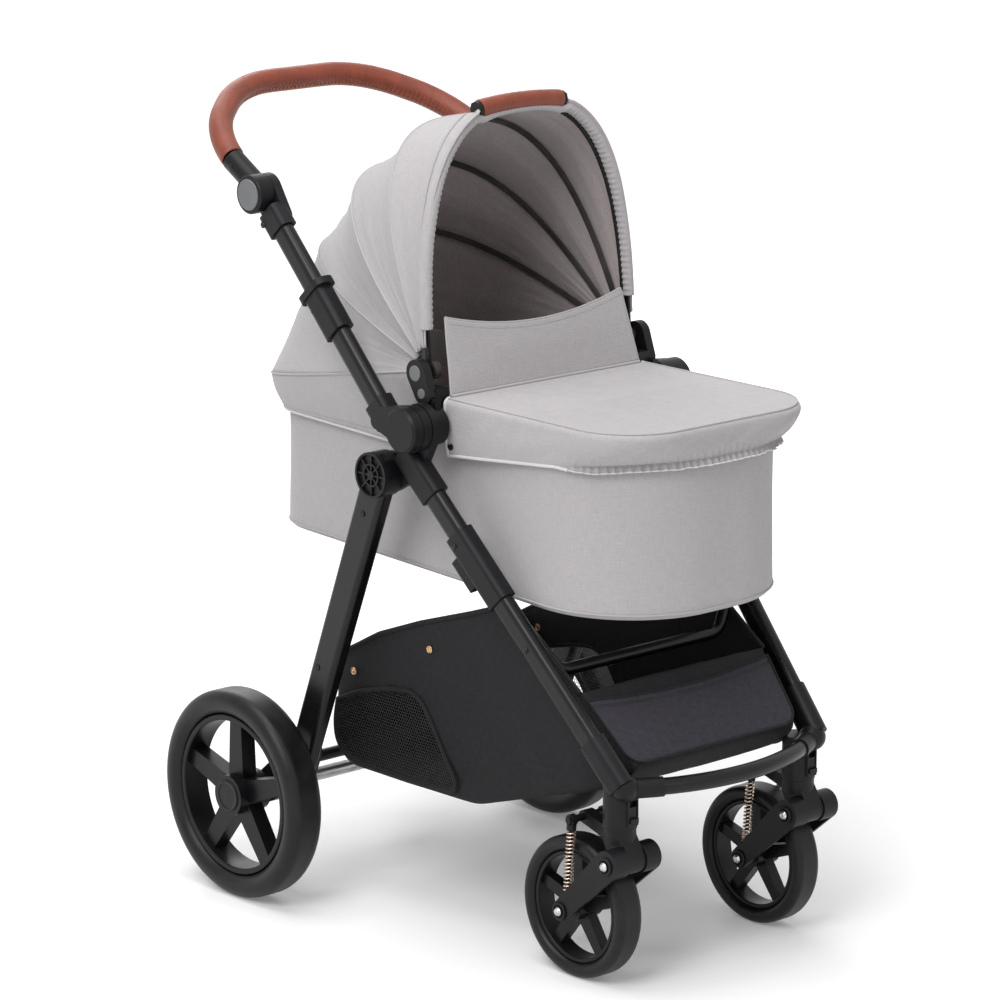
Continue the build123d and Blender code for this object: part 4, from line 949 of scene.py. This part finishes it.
def buildApron():
    s = apronSettings
    rows = []
    count = s["columns"]
    outline = apronOutline(0.0, count)
    lengths = runLengths(outline)
    around = apronOutline(14.0, count)
    inward = [(b - a).normalized() for a, b in zip(outline, around)]
    cot = [Vector((p.x * 1000, (axleY - p.y) * 1000, 0)) for p in cotPlan(-s["hug"], 2000, 600.0)]
    cot = resampled([p for p in cot if p.y >= s["rear"]], count)
    hemXY, front = [], []
    for j, p in enumerate(outline):
        hemXY.append(p.lerp(cot[j], 0.35 + 0.65 * smoothStep(330.0, 500.0, p.y)))
        front.append(smoothStep(490.0, 555.0, p.y))

    def skirtPoint(j, t, out, lift=0.0):
        p = outline[j]
        hem = s["hemRear"] + s["hemSlope"] * (p.y - s["rear"])
        z = hem + (s["top"] - s["roll"] - hem) * t
        q = hemXY[j].lerp(p, math.sin(math.pi / 2 * max(0.0, t)) ** 0.85)
        q = q - inward[j] * out
        return at(q.x, q.y, z + lift)

    ripple = [math.sin(2 * math.pi * run / s["gatherWave"] + 2.2 * bumps(run * 0.03, 0, 0)) for run in lengths]
    for i in range(4):  # frill below the elastic
        u = i / 3
        row = []
        for j in range(count):
            flare = front[j] * ((1 - u) * (3.0 + s["gather"] * ripple[j]) - 1.6 * u + 0.7 * ripple[j])
            fall = s["frill"] * (1 - u) * front[j] * (0.85 + 0.3 * bumps(lengths[j] * 0.05, 5.0, 0))
            row.append(skirtPoint(j, 0.0, flare, -fall - 0.4 * (1 - u) + 0.8 * front[j] * ripple[j]))
        rows.append(row)
    hemLine = [p.copy() for p in rows[0]]
    elastic = [p.copy() for p in rows[-1]]
    for i in range(1, s["skirtRows"] + 1):
        t = i / s["skirtRows"]
        row = []
        low = 1 - smoothStep(0.0, 0.5, t)
        for j in range(count):
            pull = bumps(lengths[j] * 0.011, t * 1.2, 3.0) + 0.6 * bumps(lengths[j] * 0.035 + t * 1.4, t * 1.1, 8.0)
            belly = math.sin(math.pi * t)
            out = front[j] * low * 1.2 * ripple[j] + s["pull"] * pull * belly + 0.8 * belly
            row.append(skirtPoint(j, t, out))
        rows.append(row)
    for k in range(1, 5):  # rolled top edge
        a = math.radians(90 * k / 4)
        z = s["top"] - s["roll"] + s["roll"] * math.sin(a)
        rows.append([at(*(p + inward[j] * (s["roll"] * (1 - math.cos(a)))).xy, z) for j, p in enumerate(outline)])
    rimLine = [p.copy() + Vector((0, 0, 0.0006)) for p in rows[-2]]
    backEdges = [[row[j].copy() for row in rows] for j in (0, count - 1)]
    spineFront = s["nose"] - s["halfWidth"]
    for k in range(1, s["topRows"] + 1):
        v = k / s["topRows"]
        row = []
        for j, p in enumerate(outline):
            start = p + inward[j] * s["roll"]
            q = start.lerp(Vector((0.0, min(start.y, spineFront), 0)), v)
            back = smoothStep(s["rear"], s["rear"] + 60, q.y)
            crown = s["crown"] * back * math.sin(math.pi / 2 * min(1.0, v * 1.6))
            pucker = bumps(q.x * 0.013, q.y * 0.017, 0.3) + 0.55 * bumps(q.x * 0.034, q.y * 0.026, 1.7)
            pucker += 0.25 * bumps(q.x * 0.08, q.y * 0.06, 4.1)
            row.append(at(q.x, q.y, s["top"] + crown + s["pucker"] * pucker * back * smoothStep(0, 0.2, v)))
        rows.append(row)
    piece = gridPiece("apronCover", rows, ["heatherCloth", "liningCloth"])
    editMesh(piece, lambda work: bmesh.ops.remove_doubles(work, verts=work.verts, dist=s["mergeGap"]))
    turnOutward(piece, lambda poly: poly.normal.z)
    thicken(piece, s["cloth"], lining=True)
    place(piece, "carrycot", "apron")
    side = [k for k, p in enumerate(outline) if p.y < 520.0]
    runs = [[hemLine[k] for k in side if way * outline[k].x > 0] for way in (1, -1)]
    piping("apronPiping", runs + backEdges, s["piping"], "whiteCloth", "carrycot")
    piping("apronRim", [rimLine], s["rim"], "heatherCloth", "carrycot")
    band = [elastic[k] for k, p in enumerate(outline) if p.y >= 505.0]
    stitches("apronElastic", [band], s["elastic"], "greyThread", "carrycot")
    edge = [hemLine[k] for k, p in enumerate(outline) if p.y >= 512.0]
    piping("apronFrillEdge", [edge], s["frillEdge"], "whiteCloth", "carrycot")


buildApron()

flapSettings = {"foot": (285.8, 692.3), "lean": (23.0, 90.0), "halfFoot": 160.0, "halfTop": 149.0, "side": 97.0,
                "middle": 76.0, "columns": 90, "rows": 24, "cloth": 0.0022, "hem": 7.0, "bow": 1.6, "wrinkle": 1.2,
                "piping": 0.0015, "welt": 0.0021, "stitch": (0.0048, 0.0034, 0.0004), "cut": (0.320, 0.097, 0.0256)}


def flapHeight(u):
    return flapSettings["middle"] + (flapSettings["side"] - flapSettings["middle"]) * u ** 2


def flapPoint(u, v, out=0.0):
    s = flapSettings
    up = Vector((0, s["lean"][0], s["lean"][1])).normalized()
    facing = Vector((1, 0, 0)).cross(up)
    tall = flapHeight(u)
    half = s["halfFoot"] + (s["halfTop"] - s["halfFoot"]) * v
    foot = at(0, *s["foot"])
    wrinkle = s["wrinkle"] * bumps(u * 2.4, v * 1.6, 0.7) * math.sin(math.pi * min(1, v * 1.1))
    bow = s["bow"] * math.sin(math.pi * v) * (1 - u * u) + wrinkle
    return foot + Vector((half * u / 1000, 0, 0)) + up * (tall * v / 1000) + facing * ((bow + out) / 1000)


def buildFlap():
    s = flapSettings
    rows = [[flapPoint(u, i / s["rows"]) for u in unitSteps(s["columns"])] for i in range(s["rows"] + 1)]
    piece = gridPiece("windFlap", rows, ["heatherCloth", "heatherCloth"])
    thicken(piece, s["cloth"], side=0.0)
    place(piece, "wind_flap", "wind_flap")
    edge = [flapPoint(u, 1.0) for u in unitSteps(120)]
    sides = [[flapPoint(way, j / 30) for j in range(31)] for way in (-1, 1)]
    piping("flapHem", [edge] + sides, s["piping"], "heatherCloth", "wind_flap")
    foot, height = s["foot"]
    # over the seam to the apron, close to the hinge
    welt = [at(x, foot + 1.3, height) for x in range(-160, 161, 8)]
    piping("flapFootWelt", [welt], s["welt"], "heatherCloth", "wind_flap")
    for face, label in ((-1.4, "Inside"), (1.4, "Outside")):
        line = [flapPoint(u * 0.965, 1 - s["hem"] / flapHeight(u), face) for u in unitSteps(120)]
        stitches(f"flapStitches{label}", [line], s["stitch"], "greyThread", "wind_flap")


buildFlap()
print("apron and flap built")

basketSettings = {
    "floor": [(60, 314), (44, 190), (74, 168), (200, 168), (322, 170), (450, 211), (570, 248), (600, 280), (520, 360)],
    "edge": [(60, 314), (146, 360), (225, 390), (320, 421), (392, 446), (520, 360)],
    "half": [(20.0, 164.0), (520.0, 160.0), (610.0, 147.0)], "rows": 210, "sideSteps": 38, "floorSteps": 30,
    "cloth": 0.0016, "crease": 0.0012, "foldAnchor": (0, 545, 300), "foldKeep": 0.62,
    "net": [(62, 256), (110, 277), (165, 291), (205, 296), (226, 288), (242, 268), (258, 243), (276, 216), (296, 190),
            (288, 181), (200, 178), (100, 178), (72, 184), (57, 204), (56, 232)],
    "netCell": 4.6, "netThread": 0.0004, "netRow": 0.87, "netBinding": 0.0031, "edgeBinding": 0.0030,
    "snaps": [(96.0, 300.0), (244.0, 359.0)],
    "cut": (0.810, 0.827, 0.4106),
}


def basketHalf(d):
    (d0, w0), (d1, w1), (d2, w2) = basketSettings["half"]
    if d < d1:
        return w0 + (w1 - w0) * (d - d0) / (d1 - d0) - 1.2
    return w1 + (w2 - w1) * (d - d1) / (d2 - d1) - 1.2


def softRun(corners, count, rounds, closed=False):
    run = resampled([Vector((d, z, 0)) for d, z in corners], count, closed)
    for n in range(rounds):
        run = [run[0]] + [(a + b * 2 + c) / 4 for a, b, c in zip(run, run[1:], run[2:])] + [run[-1]]
    return run


floorRun = softRun(basketSettings["floor"], 301, 24)
edgeRun = softRun(basketSettings["edge"], 301, 10)
netRim = softRun(basketSettings["net"], 260, 30, closed=True)


def basketRow(t):
    s = basketSettings
    k = min(299, int(t * 300))
    low = floorRun[k].lerp(floorRun[k + 1], t * 300 - k)
    top = edgeRun[k].lerp(edgeRun[k + 1], t * 300 - k)
    row = []
    for i in range(s["sideSteps"] + 1):
        v = i / s["sideSteps"]
        q = top.lerp(low, v)
        inset = 10.0 * v ** 6 + 1.5 * math.sin(math.pi * v)
        row.append((basketHalf(q.x) - inset, q.x, q.y))
    inner = row[-1][0]
    deep = smoothStep(0.04, 0.2, t) * (1 - smoothStep(0.8, 0.97, t))
    floor = []
    for i in range(1, s["floorSteps"]):
        u = 1 - 2 * i / s["floorSteps"]
        sag = (1 - u * u) * 3.5 * deep + (1 - abs(u) ** 10) * 1.5 * deep
        floor.append((inner * u, low.x, low.y - sag + 2.0 * deep))
    points = row + floor + [(-x, d, z) for x, d, z in reversed(row)]
    return [at(x, d, z) for x, d, z in points]


def inNet(d, z):
    inside = False
    for a, b in zip(netRim, netRim[1:] + netRim[:1]):
        if (a.y > z) != (b.y > z) and d < a.x + (b.x - a.x) * (z - a.y) / (b.y - a.y):
            inside = not inside
    return inside


def cutNetWindows(work):
    gone = []
    for face in work.faces:
        c = face.calc_center_median()
        if abs(face.normal.x) > 0.5 and inNet((axleY - c.y) * 1000, c.z * 1000):
            gone.append(face)
    bmesh.ops.delete(work, geom=gone, context="FACES")


def foldWithBasket(piece):
    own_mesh(piece)


def buildBasket():
    s = basketSettings
    rows = [basketRow(i / s["rows"]) for i in range(s["rows"] + 1)]
    for row in rows:
        for j, p in enumerate(row):
            crease = bumps(p.x * 13, p.y * 13, p.z * 16) + 0.5 * bumps(p.x * 30, p.y * 22, p.z * 30)
            away = Vector((p.x * 1.2, 0, -0.1 if abs(p.x) < 0.12 else 0)).normalized()
            row[j] = p - away * (s["crease"] + s["crease"] * crease)
    piece = gridPiece("basketCloth", rows, ["basketCloth", "basketCloth"])
    centre = at(0, 330, 300)
    turnOutward(piece, lambda poly: poly.normal.dot(poly.center - centre))
    editMesh(piece, cutNetWindows)
    thicken(piece, s["cloth"])
    pieces = [piece]
    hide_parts("basket")
    runs = [[at(way * (basketHalf(p.x) - 2.0), p.x, p.y) for p in netRim] for way in (-1, 1)]
    pieces.append(tubeAlong("basketNetBinding", runs, s["netBinding"], "basketCloth", closed=True))
    left, right = min(p.x for p in netRim), max(p.x for p in netRim)
    low, high = min(p.y for p in netRim), max(p.y for p in netRim)
    step = s["netCell"]
    for way, label in ((-1, "Right"), (1, "Left")):
        points, faces, index = [], [], {}
        for j in range(int((high - low) / (step * s["netRow"])) + 1):
            for i in range(int((right - left) / step) + 1):
                d, z = left + (i + 0.5 * (j % 2)) * step, low + j * step * s["netRow"]
                if inNet(d, z):
                    index[(i, j)] = len(points)
                    slack = 1.5 * bumps(d * 0.02, z * 0.02, 0.5)
                    points.append(at(way * (basketHalf(d) - 3.2 + slack), d, z))
        for (i, j), k in index.items():
            shift = j % 2
            for pair in (((i + 1, j), (i + shift, j + 1)), ((i + shift, j + 1), (i + shift - 1, j + 1))):
                if all(c in index for c in pair):
                    faces.append((k, index[pair[0]], index[pair[1]]))
        mesh = bpy.data.meshes.new(f"basketNet{label}")
        mesh.from_pydata([tuple(p) for p in points], [], faces)
        pieces.append(runTree(linkObject(f"basketNet{label}", mesh), netTree, netSockets, {
            "Thread Radius": s["netThread"], "Material": finish["netThread"]}))
    edge = [[row[0] for row in rows], [row[-1] for row in rows]]
    pieces.append(tubeAlong("basketEdgeBinding", edge, s["edgeBinding"], "basketCloth"))
    for made in pieces:
        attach(made, "chassis")
        foldWithBasket(made)


buildBasket()

pocketSettings = {"foot": (597.4, 282.0), "lean": (80.0, 81.0), "halfFoot": 142.0, "halfTop": 155.0, "tall": 98.0,
                  "stand": 1.2, "cloth": 0.0018, "corner": 22.0, "hollow": 12.0, "bulge": 3.2, "ruffle": 1.0,
                  "piping": 0.0016, "stitch": (0.0042, 0.0029, 0.0004), "cut": (0.310, 0.098, 0.0265)}


def pocketPoint(u, v, out=0.0):
    s = pocketSettings
    up = Vector((0, s["lean"][0], s["lean"][1])).normalized()
    facing = Vector((1, 0, 0)).cross(up)
    reach = (s["tall"] - s["hollow"] * (1 - u * u)) * v
    half = s["halfFoot"] + (s["halfTop"] - s["halfFoot"]) * v
    if reach < s["corner"]:
        half -= s["corner"] * (1 - math.sqrt(max(0.0, 1 - (1 - reach / s["corner"]) ** 2)))
    bulge = s["bulge"] * math.sin(math.pi * min(1.0, v * 1.15) * 0.87) * (1 - u ** 4)
    ruffle = s["ruffle"] * bumps(u * 3.5, v * 1.3, 2.2) * v
    lift = s["stand"] + max(0.0, bulge + ruffle) + out
    return at(half * u, *s["foot"]) + up * (reach / 1000) + facing * (lift / 1000)


def buildPocket():
    s = pocketSettings
    rows = [[pocketPoint(u, i / 20) for u in unitSteps(80)] for i in range(21)]
    piece = gridPiece("basketPocket", rows, ["slateCloth"])
    thicken(piece, s["cloth"])
    place(piece, "chassis", "basket_pocket")
    top = [pocketPoint(u, 1.0) for u in unitSteps(120)]
    sides = [[pocketPoint(way, j / 20) for j in range(21)] for way in (-1, 1)]
    foot = [pocketPoint(u, 0.0) for u in unitSteps(60)]
    piping("pocketHem", [top, foot] + sides, s["piping"], "basketCloth", "chassis")
    rowsOfThread = [[pocketPoint(0.98 * u, v, 0.9) for u in unitSteps(120)] for v in (0.88, 0.91)]
    stitches("pocketStitches", rowsOfThread, s["stitch"], "blackThread", "chassis")


buildPocket()
print("basket built")

gripSettings = {"joint": (-20.76, 914.06), "slope": 30.6, "corners": [(208.0, 32.0), (208.0, 120.0), (102.0, 214.0)],
                "fillet": 150.0, "start": 72.0, "radius": 15.7, "around": 48, "lengthStep": 1.3, "pucker": 0.75,
                "pitch": 6.5, "leather": 0.0022, "seamWidth": 0.12, "gatherWidth": 0.5, "pinch": 1.1, "lacing": 0.0006}


def handleRoute():
    s = gripSettings
    corners = [(-x, y, 0) for x, y in s["corners"]] + [(x, y, 0) for x, y in reversed(s["corners"])]
    flat = filletRoute(corners, s["fillet"])
    a = math.radians(s["slope"])
    d, z = s["joint"]
    fine = resampled(flat, 900)
    fine = [p for p in fine if p.y >= s["start"]]
    route = resampled(fine, int(runLengths(fine)[-1] / s["lengthStep"]))
    return [at(p.x, d - p.y * math.cos(a), z + p.y * math.sin(a)) for p in route]


def leatherSleeve(name, route, hint, radius, seamTurn, body, node, around):
    s = gripSettings
    frames = pathFrames(route, hint)
    rows = []
    last = len(frames) - 1
    seam = math.radians(seamTurn)
    pitch = max(4.0, s["pitch"] / ((route[1] - route[0]).length * 1000))
    for k, (p, ahead, side, up) in enumerate(frames):
        endRoll = min(1.0, min(k, last - k) / 3.0)
        row = []
        for j in range(around):
            a = 2 * math.pi * j / around
            off = (a - seam + math.pi) % (2 * math.pi) - math.pi
            pinch = math.exp(-(off / s["seamWidth"]) ** 2)
            beside = math.exp(-(off / s["gatherWidth"]) ** 2)
            gather = beside * math.sin(2 * math.pi * k / pitch)
            rolled = radius * (0.90 + 0.10 * math.sqrt(max(0.0, 1 - (1 - endRoll) ** 2)))
            r = rolled - s["pinch"] * pinch - s["pucker"] * (0.6 * beside - 0.6 * gather)
            r += 0.18 * noise.noise(p * 55 + Vector((math.cos(a), math.sin(a), 0)))
            row.append(p + turnedWay(side, up, a) * (r / 1000))
        rows.append(row)
    piece = faceOut(gridPiece(name, rows, ["cognacLeather"], closeU=True))
    thicken(piece, s["leather"])
    place(piece, body, node)
    laces = []
    for n in range(1, int(last / pitch)):
        p, ahead, side, up = frames[int(n * pitch)]
        turns = [seam + 0.2 * (k / 4 - 0.5) * 2 for k in range(5)]
        lace = []
        for k, a in enumerate(turns):
            r = radius - 0.35 - 0.5 * math.exp(-((a - seam) / s["seamWidth"]) ** 2)
            lace.append(p + ahead * (0.0014 * (k / 4 - 0.5)) + turnedWay(side, up, a) * (r / 1000))
        laces.append(lace)
    piping(name + "Lacing", laces, s["lacing"], "leatherThread", body)


gripTilt = math.radians(gripSettings["slope"])
leatherSleeve("handleSleeve", handleRoute(), Vector((0, -math.sin(gripTilt), math.cos(gripTilt))),
              gripSettings["radius"], 192.0, "handlebar", "handle_grip", gripSettings["around"])

hoodGripSettings = {"half": 68.0, "top": 318.5, "drop": 4.0, "angle": 86.0, "radius": 12.0,
                    "capStart": 0.0665, "capEnd": 73.0, "capRadius": 0.0108}


def hoodGripRoute(half, steps):
    s = hoodGripSettings
    a = math.radians(s["angle"])
    d, z = hoodSettings["axis"]
    made = []
    for k in range(steps + 1):
        x = -half + 2 * half * k / steps
        r = s["top"] - s["drop"] * (x / 70.0) ** 2
        made.append(at(x, d - r * math.cos(a), z + r * math.sin(a)))
    return made


leatherSleeve("hoodSleeve", hoodGripRoute(hoodGripSettings["half"], 104), Vector((0, 0, 1)),
              hoodGripSettings["radius"], 250.0, "hood_front", "hood_grip", 32)
for way, label in ((-1, "Right"), (1, "Left")):
    cap = [p for p in hoodGripRoute(hoodGripSettings["capEnd"], 200) if way * p.x > hoodGripSettings["capStart"]]
    piping(f"hoodGripEnd{label}", [cap], hoodGripSettings["capRadius"], "blackPlastic", "hood_front")
print("leather built")

springSettings = {"top": (531.0, 207.0), "axle": (522.0, 90.0), "casterX": 154.5, "across": 26.5, "radius": 5.0,
                  "wire": 1.05, "turns": 17, "turnSteps": 20, "seat": 13.5, "foot": 18.0, "pressed": 0.87}


def buildSprings():
    s = springSettings
    for way, hand, label in ((1, "left", "Left"), (-1, "right", "Right")):
        runs = []
        start, end = at(0, *s["top"]), at(0, *s["axle"])
        along = (end - start).normalized()
        side, up = Vector((1, 0, 0)), along.cross(Vector((1, 0, 0)))
        length = (end - start).length - (s["seat"] + s["foot"] + 2 * s["wire"]) / 1000
        for dx in (-s["across"], s["across"]):
            base = start + along * ((s["seat"] + s["wire"]) / 1000)
            base += Vector(((way * s["casterX"] + dx) / 1000, 0, 0))
            count = s["turns"] * s["turnSteps"]
            coil = []
            for k in range(count + 1):
                ring = turnedWay(side, up, 2 * math.pi * k / s["turnSteps"]) * (s["radius"] / 1000)
                coil.append(base + along * (length * k / count) + ring)
            runs.append(coil)
        piece = tubeAlong(f"strutSprings{label}", runs, s["wire"] / 1000, "copperCoil")
        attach(piece, f"caster_{hand}")
        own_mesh(piece)
        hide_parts(f"springs_{hand}")


buildSprings()

headProfiles = {
    "screwHead": ([(4.2, 0.0), (4.2, 1.0), (3.4, 1.7), (2.0, 1.9), (1.9, 0.7), (0.3, 0.6)], 12),
    "rivetHead": ([(4.4, 0.0), (4.2, 0.7), (3.2, 1.3), (1.6, 1.6), (0.4, 1.65)], 14),
    "boltHead": ([(5.6, 0.0), (5.6, 0.8), (4.2, 0.8), (4.2, 3.0), (3.7, 3.5), (0.4, 3.6)], 12),
    "snapHead": ([(5.2, 0.0), (5.2, 0.5), (4.6, 1.1), (3.9, 1.2), (3.6, 0.8), (2.4, 0.8), (1.4, 1.3), (0.3, 1.4)], 16),
    "bossRing": ([(11.5, 0.0), (11.5, 2.2), (10.6, 3.0), (8.4, 3.0), (7.6, 2.2), (7.4, 0.2)], 32),
    "hubCap": ([(21.0, 0.0), (21.0, 1.0), (19.8, 2.0), (17.6, 2.0), (16.8, 1.2), (15.6, 1.1), (0.4, 2.0)], 48),
}
heads = {name: turnedTemplate(name, *shape) for name, shape in headProfiles.items()}
fastenerSettings = {
    "millimetre": 0.001, "snapScale": 0.0011, "sliderRivet": (222.0, 93.7, 779.7), "armHalf": 41.0, "bossInset": 3.2,
    "armEnds": ((603.0, 167.0), (522.0, 90.0)), "hubCap": (295.8, 0.0, 137.5), "apronSnap": (168.6, 294.0, 632.0),
    "upperPairs": [
        ("jointRivets", [(222.0, -4.4, 876.4)], "rivetHead", "upper_frame", 3),
        ("sleeveRivets", [(222.6, -68.8, 942.9)], "rivetHead", "handlebar", 4),
    ],
    "lowerPairs": [
        ("legScrews", [(230.0, 197.0, 538.0), (230.0, 105.0, 319.4)], "screwHead", "rear_frame", 5),
        ("bracketScrews", [(209.8, 347.0, 521.0), (201.6, 346.0, 492.0), (200.4, 358.0, 480.0)], "screwHead",
         "chassis", 8),
        ("tubeRivets", [(194.2, 461.0, 409.0)], "rivetHead", "chassis", 9),
    ],
    "basketSnapSides": ((0.0, 1), (-3.4, -1)),
}


def onSide(way, spot):
    x, d, z = spot
    return at(way * x, d, z), (way, 0, 0)


def darkHeads(rows):
    for name, spots, head, body, seed in rows:
        both = [onSide(way, spot) for spot in spots for way in (1, -1)]
        scatter(name, both, heads[head], fastenerSettings["millimetre"], "darkScrew", body, seed)


def buildFasteners():
    s = fastenerSettings
    mm = s["millimetre"]
    darkHeads(s["upperPairs"])
    for way, hand in ((1, "left"), (-1, "right")):
        scatter(f"sliderRivet{hand.title()}", [onSide(way, s["sliderRivet"])], heads["rivetHead"], mm, "darkScrew",
                f"fold_slider_{hand}", 6)
    darkHeads(s["lowerPairs"])
    for way, hand in ((1, "left"), (-1, "right")):
        label = hand.title()
        ends = [(way * springSettings["casterX"] + face * s["armHalf"], face, d, z)
                for face in (-1, 1) for d, z in s["armEnds"]]
        bolts = [(at(x, d, z), (face, 0, 0)) for x, face, d, z in ends]
        scatter(f"armBolts{label}", bolts, heads["boltHead"], mm, "zincBolt", f"front_arm_{hand}", 7)
        bosses = [(at(x - face * s["bossInset"], d, z), (face, 0, 0)) for x, face, d, z in ends]
        scatter(f"armBosses{label}", bosses, heads["bossRing"], mm, "blackPlastic", f"front_arm_{hand}",
                7)
        scatter(f"hubCap{label}", [onSide(way, s["hubCap"])], heads["hubCap"], mm, "rimPlastic",
                f"rear_wheel_{hand}", 2)
    snaps = [onSide(way, s["apronSnap"]) for way in (-1, 1)]
    scatter("apronSnaps", snaps, heads["snapHead"], s["snapScale"], "blackPlastic", "carrycot", 2)
    snaps = [(at(way * (basketHalf(d) + lift), d, z), (way * face, 0, 0)) for d, z in basketSettings["snaps"]
             for way in (-1, 1) for lift, face in s["basketSnapSides"]]
    made = scatter("basketSnaps", snaps, heads["snapHead"], mm, "brassSnap", "chassis", 2)
    foldWithBasket(made)


buildFasteners()
for head in heads.values():
    bpy.data.objects.remove(head)
print("fasteners built")
